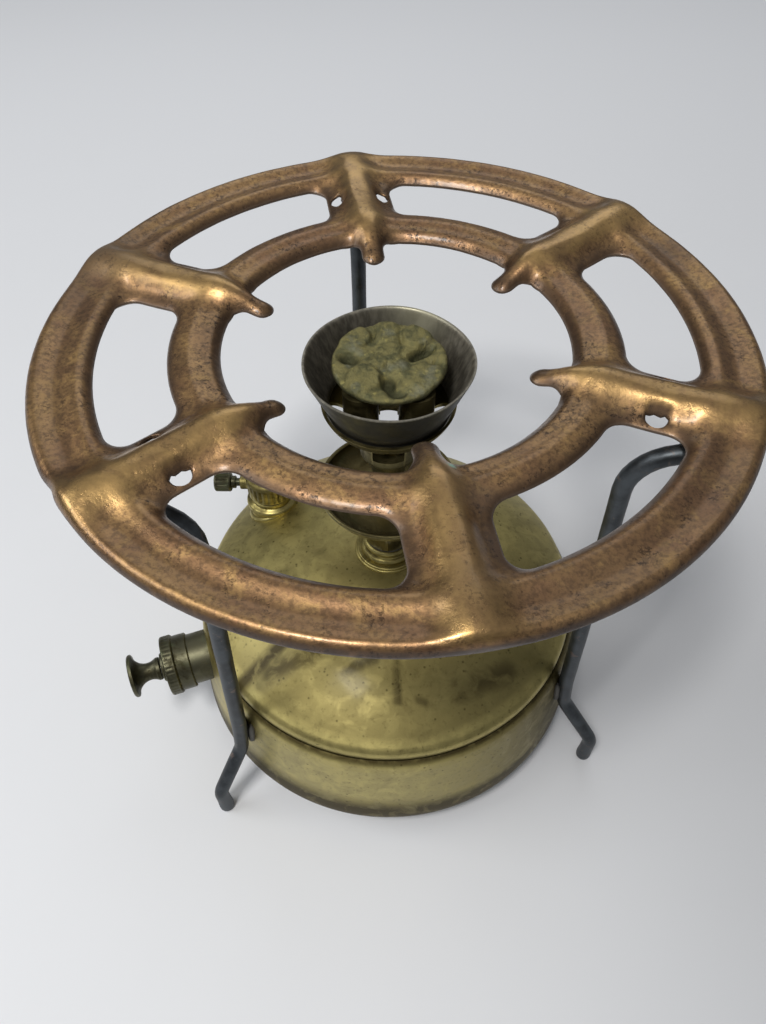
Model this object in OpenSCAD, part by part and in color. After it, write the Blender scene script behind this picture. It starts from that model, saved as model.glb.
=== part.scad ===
// Brass pressure stove with a roarer burner, standing on three bent rods.
// Millimetres, +Z up. The origin is on the tank's axis, at the height of the table.

/* [Tank] */
// Outer radius of the tank wall
tank_r = 87.8; // [84:0.1:89]
// Height of the tank's lower edge above the table
tank_base_z = 8; // [6:0.5:12]
// Height of the wall's upper edge
tank_top_z = 65; // [63:0.5:66]
// Thickness of the tank's sheet
sheet = 1; // [0.8:0.1:1.2]
// Radius at the foot of the dome
dome_r = 80.5; // [79:0.1:81]
// Radius of the sphere that the dome is cut from
dome_ball_r = 138; // [130:1:150]
// Height of the dome's crown
dome_top_z = 91.5; // [90:0.5:92]

/* [Burner] */
// Radius of the pillars' pitch from the axis, along X and Y
pillar_xy = 9; // [8.6:0.1:9.2]
// Radius of each pillar
pillar_r = 5.8; // [5:0.1:5.9]
// Radius of the burner head
head_r = 19; // [18:0.5:20]
// Height of the burner head's top
head_top_z = 192.6; // [191:0.1:193]
// Radius of the flame ring's mouth
flame_r = 28.1; // [26:0.1:29]
// Height of the flame ring's mouth
flame_top_z = 191.8; // [190:0.1:193]
// Radius of the spirit cup
cup_r = 26.6; // [24:0.1:28]
// Height of the spirit cup's rim
cup_top_z = 132.5; // [131:0.5:134]

/* [Pot ring] */
// Outer radius of the pot ring
ring_r = 110; // [108:0.5:112]
// How far the loose ring lies to the right of the tank's axis
ring_off = 2.2; // [0:0.1:2.5]
// Inner radius of the outer band
outer_band_r = 91.3; // [90:0.1:93]
// Outer radius of the inner band
inner_band_r = 69.8; // [68:0.1:71]
// Radius of the ring's eye
eye_r = 54; // [52:0.5:56]
// Half the width of each spoke
spoke_hw = 12; // [11:0.5:13]
// Direction of the first spoke
spoke_az = -20.2; // [-30:0.1:-10]
// Thickness of the ring's sheet
ring_t = 1.5; // [1.3:0.1:1.8]
// Radius of the ear holes in the leg spokes
ear_hole_r = 3.2; // [2.8:0.1:3.5]

/* [Legs] */
// Radius of the leg rod
rod_r = 3; // [2.5:0.1:3]
// Directions of the right, left and back leg
leg_az = [-30, -132.3, 99];
// Directions in which the three leg tops point
leg_head = [15, -166, 99.8];
// Radius of the circle that the feet stand on
foot_r = 106; // [100:1:110]

/* [Filler and pump] */
// Place of the filler on the dome
filler_xy = [-53, 34];
// Height of the gasket's seat on the filler
filler_seat_z = 86; // [85:0.5:88]
// Direction of the pump
pump_az = -160.3; // [-165:0.1:-155]
// Height of the pump's axis
pump_z = 48; // [44:0.5:50]
// Outer radius of the pump tube
pump_r = 11; // [10.5:0.1:11.5]
// Distance of the tube's outer end from the tank's axis
pump_end = 96; // [94:0.5:98]

/* [Hidden] */
$fn = 96;
fit = 0.02;
big = 300;

brass = "darkkhaki";
dull_brass = "olive";
dark_steel = "dimgray";
copper = "peru";

// The dome is a slice of a ball
dome_ball_z = dome_top_z - dome_ball_r;
dome_edge_fillet = 3;
dome_skin = 0.9;
dome_edge_z = dome_ball_z + sqrt(pow(dome_ball_r - dome_edge_fillet, 2)
    - pow(dome_r - dome_edge_fillet, 2));
dome_skirt_z = 60;
wall_foot_fillet = 9;
wall_shoulder_fillet = 13;
base_r = 74;
socket_bore_r = 6.5;
filler_bore_r = 6.5;

// Heights along the burner
socket_top_z = 99;
washer_t = 1;
hex_z = socket_top_z + washer_t;
hex_h = 7;
hex_flats = 17;
cup_floor_z = 124;
cup_skin = 0.8;
neck_z = 149.6;
neck_top_z = 163.5;
neck_r = 10.3;
neck_bore_r = 7.6;
neck_floor_z = 152;
bowl_skin = 1;
bowl_arc_r = 15.6;
bowl_arc_x = 8;
bowl_rim_z = 174.2;
port_hw = 3;
port_r = 4.5;
port_x = 16;
plate_top_z = 167;
head_z = 187;
nipple_hole_r = 2;
vent_z = 92;
gasket_t = 1.5;

// Pot ring heights
lip_z = 199.1;
rim_z = 197.8;
band_z = 202.9;
rim_fillet = 3.2;
finger_x = 45.6;
finger_z = 197.9;
finger_drop = 12;
finger_hw = 3.9;
finger_flare = 6.6;
finger_arch_r = 4.6;
leg_top_z = lip_z - rod_r - 0.05;
leg_top_r = 79.5;
leg_end = 25.5;
wall_x = tank_r + rod_r + 0.05;

// Pump distances from the tank's axis
pump_bore_r = 9.5;
pump_inner = -4;
cap_face = pump_end + 1.2;
knob_in = 104.6;
knob_out = 117.5;
rod_bore = 2.5;
piston_in = 3.6;

function polar(r, a) = [r * cos(a), r * sin(a)];
function unit(v) = v / norm(v);

// A solid can's half section, with rounded lower and upper corners
module can2d(r, z0, z1, rb, rt) {
    translate([0, z0]) square([r - rb, z1 - z0]);
    translate([0, z0 + rb]) square([r, z1 - z0 - rb - rt]);
    translate([0, z0 + rb]) square([r - rt, z1 - z0 - rb]);
    translate([r - rb, z0 + rb]) circle(r = rb);
    translate([r - rt, z1 - rt]) circle(r = rt);
}

// The half section of a tube
module tube2d(r_in, r_out, z0, z1) {
    translate([r_in, z0]) square([r_out - r_in, z1 - z0]);
}

module right_half() {
    intersection() {
        children();
        translate([0, -big]) square([big, 2 * big]);
    }
}

// A rod that starts along +Z. Each step is a length, the side that the rod then
// bends to as an angle about its own axis, the bend's radius and its angle.
// A ball closes each place where a straight length meets a bend.
module rod_run(steps, r, k = 0) {
    gap = 0.2;
    length = steps[k][0];
    last = k == len(steps) - 1;
    low = k > 0 ? gap : 0;
    high = length - (last ? 0 : gap);
    translate([0, 0, low]) cylinder(r = r, h = high - low);
    if (!last) {
        bend_r = steps[k][2];
        turn = steps[k][3];
        short = gap / bend_r * 180 / PI;
        translate([0, 0, length])
        rotate([0, 0, steps[k][1]]) {
            sphere(r = r + fit);
            translate([bend_r, 0, 0]) {
                rotate([90, 0, 180])
                rotate([0, 0, short])
                rotate_extrude(angle = turn - 2 * short)
                translate([bend_r, 0])
                circle(r = r);
                rotate([0, turn, 0])
                translate([-bend_r, 0, 0]) {
                    sphere(r = r + fit);
                    rod_run(steps, r, k + 1);
                }
            }
        }
    }
}

// Turns a shape so that its Z axis points along the pump
module along_pump() {
    translate([0, 0, pump_z])
    rotate([0, 0, pump_az])
    rotate([0, 90, 0])
    children();
}

module dome2d(skin) {
    x = dome_r - dome_edge_fillet;
    touch = x * (dome_ball_r) / (dome_ball_r - dome_edge_fillet);
    right_half() {
        intersection() {
            translate([0, dome_ball_z]) circle(r = dome_ball_r - skin, $fn = 360);
            translate([0, dome_skirt_z - 10]) square([touch, 100]);
        }
        translate([x, dome_edge_z]) circle(r = dome_edge_fillet - skin);
        translate([0, dome_skirt_z - 10]) square([dome_r - skin, dome_edge_z - dome_skirt_z + 10]);
    }
}

module tank_dome() {
    color(brass)
    difference() {
        rotate_extrude()
        intersection() {
            difference() {
                dome2d(0);
                dome2d(dome_skin);
            }
            translate([0, dome_skirt_z]) square([big, 100]);
        }
        translate([0, 0, 60]) cylinder(r = 8, h = 60);
        translate([filler_xy.x, filler_xy.y, 60]) cylinder(r = 8, h = 60);
    }
}

module tank_wall() {
    groove_r = 0.9;
    color(brass)
    difference() {
        rotate_extrude()
        difference() {
            can2d(tank_r, tank_base_z, tank_top_z, wall_foot_fillet, wall_shoulder_fillet);
            can2d(tank_r - sheet, tank_base_z + sheet, tank_top_z - sheet,
                wall_foot_fillet - sheet, wall_shoulder_fillet - sheet);
            square([base_r, 30]);
            translate([0, 30]) square([dome_r + 0.05, 60]);
            translate([dome_r + 0.3, dome_edge_z]) circle(r = groove_r);
        }
        along_pump() translate([0, 0, 60]) cylinder(r = pump_r + fit, h = 60);
    }
}

module tank_base() {
    dish_r = 366;
    dish_top = 15;
    color(brass)
    rotate_extrude() {
        right_half()
        intersection() {
            difference() {
                translate([0, dish_top - dish_r]) circle(r = dish_r, $fn = 720);
                translate([0, dish_top - dish_r]) circle(r = dish_r - sheet, $fn = 720);
            }
            translate([0, tank_base_z + 0.6]) square([64, 30]);
        }
        translate([63.6, tank_base_z]) square([base_r - fit - 63.6, sheet + 0.6]);
    }
}

module burner_socket() {
    neck = 9.4;
    color(brass)
    difference() {
        rotate_extrude() {
            tube2d(socket_bore_r + 0.06, 13, 88, 92.4);
            tube2d(socket_bore_r + 0.06, neck, 90, socket_top_z);
            translate([neck, 93]) circle(r = 1.6);
            translate([neck - 0.8, socket_top_z - 1.6]) circle(r = 1.4);
        }
        translate([0, 0, dome_ball_z]) sphere(r = dome_ball_r + fit, $fn = 360);
        translate([0, 0, 80]) cylinder(r = socket_bore_r + 0.06, h = 40);
    }
}

module filler_socket() {
    neck = 9.2;
    color(brass)
    translate([filler_xy.x, filler_xy.y, 0])
    difference() {
        rotate_extrude() {
            tube2d(filler_bore_r, neck, 62, filler_seat_z);
            tube2d(filler_bore_r, neck + 1, 62, 81);
            translate([neck + 0.6, 81.4]) circle(r = 1.7);
        }
        translate([-filler_xy.x, -filler_xy.y, dome_ball_z]) sphere(r = dome_ball_r + fit, $fn = 360);
    }
}

// The steps of one leg from its foot to its top, in the leg's upright plane
function leg_steps(i) = let (
        p = [[foot_r, 0], [foot_r, 18], [wall_x, 40], [wall_x, 56], [leg_top_r, leg_top_z]],
        radius = [10, 10, 60, 23],
        d = [for (k = [0 : 3]) unit(p[k + 1] - p[k])],
        lean = acos(d[3].y),
        way = leg_head[i] - leg_az[i],
        u = [-sin(lean), 0, cos(lean)],
        w = [cos(way), sin(way), 0],
        e = unit(w - (w * u) * u),
        turn = [acos(d[0] * d[1]), acos(d[1] * d[2]), lean, acos(u * w)],
        cut = [for (k = [0 : 3]) radius[k] * tan(turn[k] / 2)],
        side = [180, 180, 180, atan2(e * [0, -1, 0], e * [-cos(lean), 0, -sin(lean)])]
    ) [
        for (k = [0 : 3])
        [norm(p[k + 1] - p[k]) - (k > 0 ? cut[k - 1] : 0) - cut[k], side[k], radius[k], turn[k]],
        [leg_end - cut[3]]
    ];

module leg(i) {
    color(dark_steel)
    rotate([0, 0, leg_az[i]])
    translate([foot_r, 0, 0])
    rod_run(leg_steps(i), rod_r);
}

module leg_right() {
    leg(0);
}

module leg_left() {
    leg(1);
}

module leg_back() {
    leg(2);
}

// Strips of solder between the legs and the tank wall
module leg_solder() {
    color(dark_steel)
    for (a = leg_az)
    rotate([0, 0, a])
    difference() {
        translate([tank_r - 1, -3, 41]) cube([3.2, 6, 14]);
        cylinder(r = tank_r + fit, h = 100, $fn = 360);
        translate([wall_x, 0, 0]) cylinder(r = rod_r + fit, h = 100);
    }
}

module pump_barrel() {
    color(dull_brass)
    along_pump()
    difference() {
        translate([0, 0, pump_inner]) cylinder(r = pump_r, h = pump_end - pump_inner);
        translate([0, 0, pump_inner - 1]) cylinder(r = pump_bore_r, h = pump_end + 20);
    }
}

// The sealed check valve at the inner end of the pump tube
module valve_body() {
    color(brass)
    along_pump()
    rotate_extrude() {
        tube2d(0, pump_bore_r - fit, pump_inner, 3);
        tube2d(0, 7, -16, pump_inner);
        tube2d(0, 4, -20, -16);
    }
}

module burner_washer() {
    color("silver")
    translate([0, 0, socket_top_z + fit])
    difference() {
        cylinder(r = 9, h = washer_t - 2 * fit);
        translate([0, 0, -1]) cylinder(r = socket_bore_r + 0.1, h = 5);
    }
}

module burner_stem() {
    window_w = 11;
    window_h = 8.6;
    color(dull_brass)
    difference() {
        union() {
            rotate_extrude() {
                tube2d(0, socket_bore_r, 88, hex_z + 1);
                tube2d(0, 5.4, hex_z, neck_z);
                tube2d(0, 9, cup_floor_z - 2, cup_floor_z);
                tube2d(0, 6, cup_floor_z - 4, neck_z);
                can2d(neck_r, neck_z, neck_top_z, 1.8, 0.01);
                polygon([[0, 140], [6, 140], [8.8, neck_z + 0.1], [0, neck_z + 0.1]]);
            }
            translate([0, 0, hex_z]) cylinder(d = hex_flats / cos(30), h = hex_h, $fn = 6);
        }
        translate([0, 0, neck_floor_z]) cylinder(r = neck_bore_r, h = 40);
        translate([0, 0, 139]) cylinder(r = nipple_hole_r + 0.03, h = 20);
        translate([-window_w / 2, -20, neck_floor_z + 1.6]) cube([window_w, 40, window_h]);
    }
}

module spirit_cup() {
    bead = 0.9;
    color(dull_brass)
    rotate_extrude() {
        difference() {
            can2d(cup_r - bead / 2, cup_floor_z + fit, 150, 8.4, 0.01);
            can2d(cup_r - bead / 2 - cup_skin, cup_floor_z + fit + cup_skin, 160, 7.6, 0.01);
            square([6.06, 200]);
            translate([0, cup_top_z - bead]) square([big, 60]);
        }
        translate([cup_r - bead, cup_top_z - bead]) circle(r = bead);
    }
}

// The half section of the round bowl, less the given thickness of its wall
module bowl2d(skin, top) {
    arc_z = neck_top_z + bowl_arc_r;
    right_half() {
        intersection() {
            union() {
                translate([bowl_arc_x, arc_z]) circle(r = bowl_arc_r - skin);
                translate([0, neck_top_z + skin]) square([bowl_arc_x, bowl_arc_r]);
            }
            translate([0, neck_top_z - 1]) square([60, top - neck_top_z + 1]);
        }
    }
}

// The air ports between the pillars, as a cross with round ends
module air_ports(z0, z1) {
    translate([0, 0, z0])
    linear_extrude(height = z1 - z0)
    for (a = [0 : 90 : 270])
    rotate(a) {
        translate([0, -port_hw]) square([port_x, 2 * port_hw]);
        translate([port_x, 0]) circle(r = port_r);
    }
}

module burner_bowl() {
    color(dull_brass)
    difference() {
        rotate_extrude() {
            difference() {
                bowl2d(0, bowl_rim_z);
                bowl2d(bowl_skin, bowl_rim_z + 5);
                square([neck_bore_r, 200]);
            }
        }
        air_ports(neck_top_z - 1, bowl_rim_z);
    }
}

module burner_pillars() {
    color(dull_brass)
    difference() {
        intersection() {
            union() {
                translate([0, 0, neck_top_z]) cylinder(r = 17, h = plate_top_z - neck_top_z);
                for (x = [-1, 1], y = [-1, 1])
                translate([x * pillar_xy, y * pillar_xy, neck_top_z])
                cylinder(r = pillar_r, h = head_z - neck_top_z);
                translate([0, 0, head_z - 1.4]) cylinder(r = 12, h = 1.4);
            }
            rotate_extrude() {
                bowl2d(bowl_skin + fit, 176);
                translate([0, 175]) square([21, head_z - 175]);
            }
        }
        air_ports(neck_top_z - 1, plate_top_z + 1);
        translate([0, 0, neck_top_z - 1]) cylinder(r = 4, h = 6);
    }
}

module burner_head() {
    scoop_r = 7;
    scoop_x = 12.2;
    lump_h = 0.6;
    face_z = head_top_z - lump_h;
    color(dull_brass)
    difference() {
        union() {
            rotate_extrude()
            polygon([[0, head_z], [15.2, head_z], [head_r, 190.6], [head_r, face_z - 0.5],
                [head_r - 0.5, face_z], [0, face_z]]);
            for (a = [45 : 90 : 315])
            rotate([0, 0, a])
            translate([12.4, 0, head_z + 2])
            cylinder(r = 5.2, h = head_top_z - head_z - 2);
            translate([0, 0, head_z + 2]) cylinder(r = 6, h = head_top_z - head_z - 2);
        }
        for (a = [0 : 90 : 270])
        rotate([0, 0, a])
        translate([scoop_x, 0, face_z + 3.6])
        sphere(r = scoop_r);
    }
}

module nipple() {
    color(brass)
    difference() {
        union() {
            translate([0, 0, 142]) cylinder(r = nipple_hole_r, h = 11);
            translate([0, 0, neck_floor_z + fit]) cylinder(d = 6.6, h = 2.6, $fn = 6);
            translate([0, 0, neck_floor_z + 2]) cylinder(r1 = 2.4, r2 = 1.1, h = 4.4);
        }
        translate([0, 0, 150]) cylinder(r = 0.35, h = 10);
    }
}

module flame_ring() {
    foot_z = 173.05;
    foot = 21.1;
    t = 1;
    color(dark_steel)
    rotate_extrude() {
        polygon([[foot - t, foot_z], [foot, foot_z], [foot + 0.2, foot_z + 2.6],
            [flame_r, flame_top_z - 0.9], [flame_r, flame_top_z - 0.2],
            [flame_r - 0.3, flame_top_z], [flame_r - t, flame_top_z],
            [foot + 0.1 - t, foot_z + 3.2]]);
    }
}

// The corners of one window, which the fillets fill in
module window_corners(r1, r2, hw, f1, f2) {
    for (s = [-1, 1]) {
        f = s < 0 ? f1 : f2;
        y = hw + f;
        rc = s < 0 ? r1 + f : r2 - f;
        c = [sqrt(rc * rc - y * y), y];
        u = s * c / rc;
        w = [0, -1];
        difference() {
            polygon([c, c + 2 * f * u, c + 3 * f * (u + w), c + 2 * f * w]);
            translate(c) circle(r = f);
        }
    }
}

// One window between two spokes, with its edges moved out by g
module window2d(g) {
    r1 = inner_band_r - g;
    r2 = outer_band_r + g;
    hw = spoke_hw - g;
    apex = polar(2 * hw, 30);
    difference() {
        intersection() {
            difference() {
                circle(r = r2);
                circle(r = r1);
            }
            polygon([apex, apex + [200, 0], apex + polar(260, 30), apex + polar(200, 60)]);
        }
        window_corners(r1, r2, hw, 7 + g, 5.5 + g);
        mirror([-sin(30), cos(30)]) window_corners(r1, r2, hw, 7 + g, 5.5 + g);
    }
}

// The ring's outline without its fingers, with every edge moved in by g
module ring_plan(g) {
    difference() {
        circle(r = ring_r - g, $fn = 360);
        circle(r = eye_r + g);
        for (i = [0 : 5]) rotate(spoke_az + 60 * i) window2d(g);
    }
}

// The half section of both bands, dropped by d
module bands2d(d) {
    foot = 190;
    translate([0, -d]) {
        polygon([[ring_r - 3.4, foot], [ring_r, foot], [ring_r, rim_z], [ring_r - 0.2, band_z - rim_fillet],
            [ring_r - 3.4, band_z - rim_fillet]]);
        translate([ring_r - 0.2 - rim_fillet, band_z - rim_fillet]) circle(r = rim_fillet);
        polygon([[outer_band_r - 2, foot], [ring_r - 3, foot], [ring_r - 3.4, band_z],
            [outer_band_r + 6, band_z], [outer_band_r + 3, 202.3], [outer_band_r, 200.7],
            [outer_band_r - 2, 200.2]]);
        polygon([[eye_r - 2, foot], [inner_band_r + 2, foot], [inner_band_r + 2, 200.2],
            [inner_band_r, 200.7], [inner_band_r - 3, 202.2], [eye_r + 4, 202.2],
            [eye_r, 200.6], [eye_r - 2, 200.2]]);
    }
}

// The cross section of a spoke with its rounded ridge
module spoke2d() {
    polygon([[-14, 190], [14, 190], [14, 200.1], [spoke_hw, 200.4], [7.5, 201.7], [3.9, 203.4],
        [-3.9, 203.4], [-7.5, 201.7], [-spoke_hw, 200.4], [-14, 200.1]]);
    translate([0, 201.8]) circle(r = 4.2);
}

// The upper surfaces of the ring as solids, dropped by d
module ring_roof(d) {
    rotate_extrude($fn = 360) bands2d(d);
    for (i = [0 : 5])
    rotate([0, 0, spoke_az + 60 * i])
    translate([0, 0, -d]) {
        translate([58, 0, 0])
        rotate([90, 0, 90])
        linear_extrude(height = 46.5)
        spoke2d();
        translate([104.5, 0, 201.8]) sphere(r = 4.2);
        translate([99, 0, 200.8]) sphere(r = 6);
        translate([63, 0, 200.8]) sphere(r = 5.8);
    }
}

// A finger's own frame: its X axis climbs outwards along the finger
module at_finger() {
    translate([finger_x, 0, finger_z])
    rotate([0, -finger_drop, 0])
    children();
}

// The outline of a finger: a round tip, and a root that flares into the inner band
module finger_plan() {
    neck = 2.8;
    root = 10;
    half = [for (k = [0 : 8])
        [neck + (root - neck) * k / 8, finger_hw + finger_flare * pow(k / 8, 2.4)]];
    outline = concat([[0, finger_hw]], half, [[root + 2.4, finger_hw + finger_flare]]);
    circle(r = finger_hw);
    polygon(concat(outline, [for (k = [len(outline) - 1 : -1 : 0]) [outline[k].x, -outline[k].y]]));
}

// The rounded back of a finger
module finger_back(r, length) {
    sphere(r = r);
    rotate([0, 90, 0]) cylinder(r = r, h = length);
}

module finger() {
    at_finger()
    intersection() {
        linear_extrude(height = 8) finger_plan();
        union() {
            finger_back(finger_arch_r, 17);
            translate([-5, -15, 0]) cube([20, 30, ring_t]);
        }
    }
}

// Rounded tabs below the ear holes of the three leg spokes
module ears() {
    for (i = [0, 2, 4], s = [-1, 1])
    rotate([0, 0, spoke_az + 60 * i])
    translate([78, s * 4, 0])
    rotate([90, 0, 0])
    translate([0, 0, -0.6])
    linear_extrude(height = 1.2) {
        translate([0, 197.2]) circle(r = 2.6);
        translate([-2.6, 197.2]) square([5.2, 5.4]);
    }
}

module pot_ring() {
    color(copper)
    translate([ring_off, 0, 0]) {
        difference() {
            union() {
                intersection() {
                    ring_roof(0);
                    translate([0, 0, rim_z]) linear_extrude(height = 20) ring_plan(0);
                }
                for (i = [0 : 5])
                rotate([0, 0, spoke_az + 60 * i])
                finger();
            }
            intersection() {
                ring_roof(ring_t);
                translate([0, 0, 185]) linear_extrude(height = 30) ring_plan(1.4);
            }
            for (i = [0 : 5])
            rotate([0, 0, spoke_az + 60 * i])
            at_finger()
            finger_back(finger_arch_r - ring_t, 11.5);
            translate([0, 0, 190])
            difference() {
                cylinder(r = ring_r - 2.6, h = lip_z - 190, $fn = 360);
                translate([0, 0, -1]) cylinder(r = eye_r, h = 20);
            }
            for (i = [0, 2, 4], s = [-1, 1])
            rotate([0, 0, spoke_az + 60 * i])
            translate([78, s * 7.6, 190])
            cylinder(r = ear_hole_r, h = 20);
        }
        ears();
    }
}

module filler_gasket() {
    color("dimgray")
    translate([filler_xy.x, filler_xy.y, filler_seat_z + fit])
    difference() {
        cylinder(r = 9, h = gasket_t - 2 * fit);
        translate([0, 0, -1]) cylinder(r = 6.6, h = 5);
    }
}

module filler_cap() {
    z0 = filler_seat_z + gasket_t;
    color(brass)
    translate([filler_xy.x, filler_xy.y, 0])
    difference() {
        union() {
            rotate_extrude() {
                can2d(10.3, z0, z0 + 11, 0.6, 2.2);
                can2d(7, z0 + 8, z0 + 13, 0.5, 1.4);
            }
            translate([0, 0, filler_seat_z - 7]) cylinder(r = filler_bore_r - 0.05, h = 10);
            translate([0, 0, vent_z]) rotate([0, -90, 0]) cylinder(r = 3.2, h = 13);
        }
        translate([0, 0, 70]) cylinder(r = 4.6, h = 20);
        translate([0, 0, vent_z]) rotate([0, -90, 0]) cylinder(r = 1.83, h = 20);
        for (a = [0 : 15 : 345])
        if (a < 150 || a > 210)
        rotate([0, 0, a])
        translate([10.75, 0, z0 + 1.6])
        cylinder(r = 0.8, h = 6.4, $fn = 24);
    }
}

module vent_screw() {
    color(dull_brass)
    translate([filler_xy.x, filler_xy.y, vent_z])
    rotate([0, -90, 0])
    difference() {
        rotate_extrude() {
            tube2d(0, 1.8, 6, 20);
            can2d(4.3, 17, 24.4, 1.2, 1.2);
            tube2d(0, 2.8, 15, 18);
        }
        for (a = [0 : 30 : 330])
        rotate([0, 0, a])
        translate([4.75, 0, 18.4])
        cylinder(r = 0.8, h = 4.6, $fn = 24);
    }
}

module pump_washer() {
    color("sienna")
    along_pump()
    translate([0, 0, pump_end + fit])
    difference() {
        cylinder(r = 10.9, h = 1.2 - 2 * fit);
        translate([0, 0, -1]) cylinder(r = 4, h = 5);
    }
}

module pump_cap() {
    color(dull_brass)
    along_pump()
    difference() {
        rotate_extrude() {
            tube2d(0, 12.1, 91.5, 99);
            can2d(13, 97.6, 102.4, 0.8, 0.8);
            can2d(6.4, 101, 104.1, 0.4, 0.8);
        }
        translate([0, 0, 80]) cylinder(r = pump_r + 0.05, h = cap_face - 80);
        translate([0, 0, 80]) cylinder(r = rod_bore + 0.06, h = 40);
        for (a = [0 : 9 : 351])
        rotate([0, 0, a])
        translate([13.35, 0, 97])
        cylinder(r = 0.7, h = 6, $fn = 24);
    }
}

module pump_rod() {
    color("silver")
    along_pump()
    translate([0, 0, piston_in]) cylinder(r = rod_bore, h = 112.9 - piston_in);
}

module pump_knob() {
    neck_z = 109.8;
    color(dull_brass)
    along_pump()
    difference() {
        rotate_extrude() {
            difference() {
                union() {
                    can2d(9.3, 112, knob_out, 0.9, 1);
                    tube2d(0, 5, knob_in, neck_z + 0.1);
                    tube2d(0, 9.3, neck_z, 113.2);
                }
                translate([9.8, neck_z]) circle(r = 6);
            }
        }
        translate([0, 0, knob_in - 1]) cylinder(r = rod_bore + fit, h = 113 - knob_in + 1);
    }
}

module piston_nut() {
    color(brass)
    along_pump()
    translate([0, 0, piston_in + 0.4])
    difference() {
        cylinder(r = 4, h = 2.4, $fn = 6);
        translate([0, 0, -1]) cylinder(r = rod_bore + fit, h = 10);
    }
}

module piston_plate() {
    color(brass)
    along_pump()
    translate([0, 0, piston_in + 2.82])
    difference() {
        cylinder(r = 8, h = 1);
        translate([0, 0, -1]) cylinder(r = rod_bore + fit, h = 10);
    }
}

module piston_cup() {
    color("sienna")
    along_pump()
    translate([0, 0, piston_in + 3.84])
    difference() {
        cylinder(r = pump_bore_r - 0.08, h = 7);
        translate([0, 0, 1.6]) cylinder(r = pump_bore_r - 1.6, h = 10);
        translate([0, 0, -1]) cylinder(r = rod_bore + fit, h = 10);
    }
}

module piston_spreader() {
    color(brass)
    along_pump()
    translate([0, 0, piston_in + 5.46])
    difference() {
        cylinder(r = 7.2, h = 1.2);
        translate([0, 0, -1]) cylinder(r = rod_bore + fit, h = 10);
    }
}

tank_dome();
tank_wall();
tank_base();
burner_socket();
filler_socket();
leg_right();
leg_left();
leg_back();
leg_solder();
pump_barrel();
valve_body();
burner_washer();
burner_stem();
spirit_cup();
burner_bowl();
burner_pillars();
burner_head();
nipple();
flame_ring();
pot_ring();
filler_gasket();
filler_cap();
vent_screw();
pump_washer();
pump_cap();
pump_rod();
pump_knob();
piston_nut();
piston_plate();
piston_cup();
piston_spreader();
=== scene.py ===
"""Dresses the packed pressure stove with finely shaped pieces, worn metal finishes and a plain studio."""

import math

import bmesh
import bpy
import numpy as np
from bpy.props import FloatProperty, FloatVectorProperty, IntProperty, PointerProperty
from mathutils import Matrix, Vector, geometry, noise


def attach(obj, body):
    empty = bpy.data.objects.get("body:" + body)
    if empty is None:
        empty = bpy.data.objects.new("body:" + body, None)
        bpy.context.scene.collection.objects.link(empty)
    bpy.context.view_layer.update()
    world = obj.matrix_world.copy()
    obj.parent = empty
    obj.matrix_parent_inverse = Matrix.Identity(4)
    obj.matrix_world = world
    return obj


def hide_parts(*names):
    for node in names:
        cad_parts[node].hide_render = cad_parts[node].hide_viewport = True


bl_info = {
    "name": "Pressure stove dresser",
    "version": (1, 0, 0),
    "blender": (4, 5, 0),
    "location": "View3D > Sidebar > Stove",
    "description": "Builds the shaped pieces and worn finishes of a brass pressure stove round its CAD frame",
    "category": "Object",
}

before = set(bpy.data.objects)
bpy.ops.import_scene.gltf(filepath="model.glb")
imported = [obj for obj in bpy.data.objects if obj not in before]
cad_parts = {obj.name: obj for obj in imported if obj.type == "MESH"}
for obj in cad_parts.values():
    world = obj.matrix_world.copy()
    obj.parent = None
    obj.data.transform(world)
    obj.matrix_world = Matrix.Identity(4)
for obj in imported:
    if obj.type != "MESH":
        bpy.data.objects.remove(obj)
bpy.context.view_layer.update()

MM = 0.001
AXIS = Matrix.Identity(4)

# Places shared by several pieces, in millimetres, as the CAD frame has them
FILLER = Vector((-53.0, 34.0, 0.0))
PUMP_AZ = math.radians(-160.3)
PUMP_Z = 48.0
PUMP_WAY_R = 10.1
# The dome is part of a ball. The wall below the seam leans in from its foot to its shoulder
DOME_BALL_Z, DOME_BALL_R = -46.5, 138.0
SEAM_Z = 61.5
WALL_R, WALL_LEAN = 87.8, 0.1132
FOOT_TOP_Z, BEND_Z, SHOULDER_Z = 18.0, 40.0, 56.0
# Right, left and back leg: where it stands, and its gap to the wall
LEG_AZ = (-30.3, -132.3, 99.0)
LEG_GAP = (3.4, 4.6, 3.4)
LEG_FOOT_R = 106.0
# The height at which the legs' heads carry the ring, and how far a head reaches
RING_SEAT_Z, HEAD_REACH = 196.05, 25.5
# Each leg's top corner: its radius, its height, the way that its head points and the radius of the bend
LEG_TOP = ((80.0, 192.8, -4.5, 15.5), (79.5, RING_SEAT_Z, -166.0, 23.0), (79.5, RING_SEAT_Z, 99.8, 23.0))
SPOKE_AZ = -20.2


def towards(origin, z_axis):
    """A frame at origin, in millimetres, whose Z axis points along z_axis."""
    turn = Vector(z_axis).to_track_quat("Z", "Y").to_matrix().to_4x4()
    return Matrix.Translation(Vector(origin)) @ turn


PUMP_LINE = (math.cos(PUMP_AZ), math.sin(PUMP_AZ), 0.0)
PUMP_FRAME = towards((0.0, 0.0, PUMP_Z), PUMP_LINE)
VENT_FRAME = towards((FILLER.x, FILLER.y, 92.0), (-1.0, 0.0, 0.0))


# ---------------------------------------------------------------- sizes and colours


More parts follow.
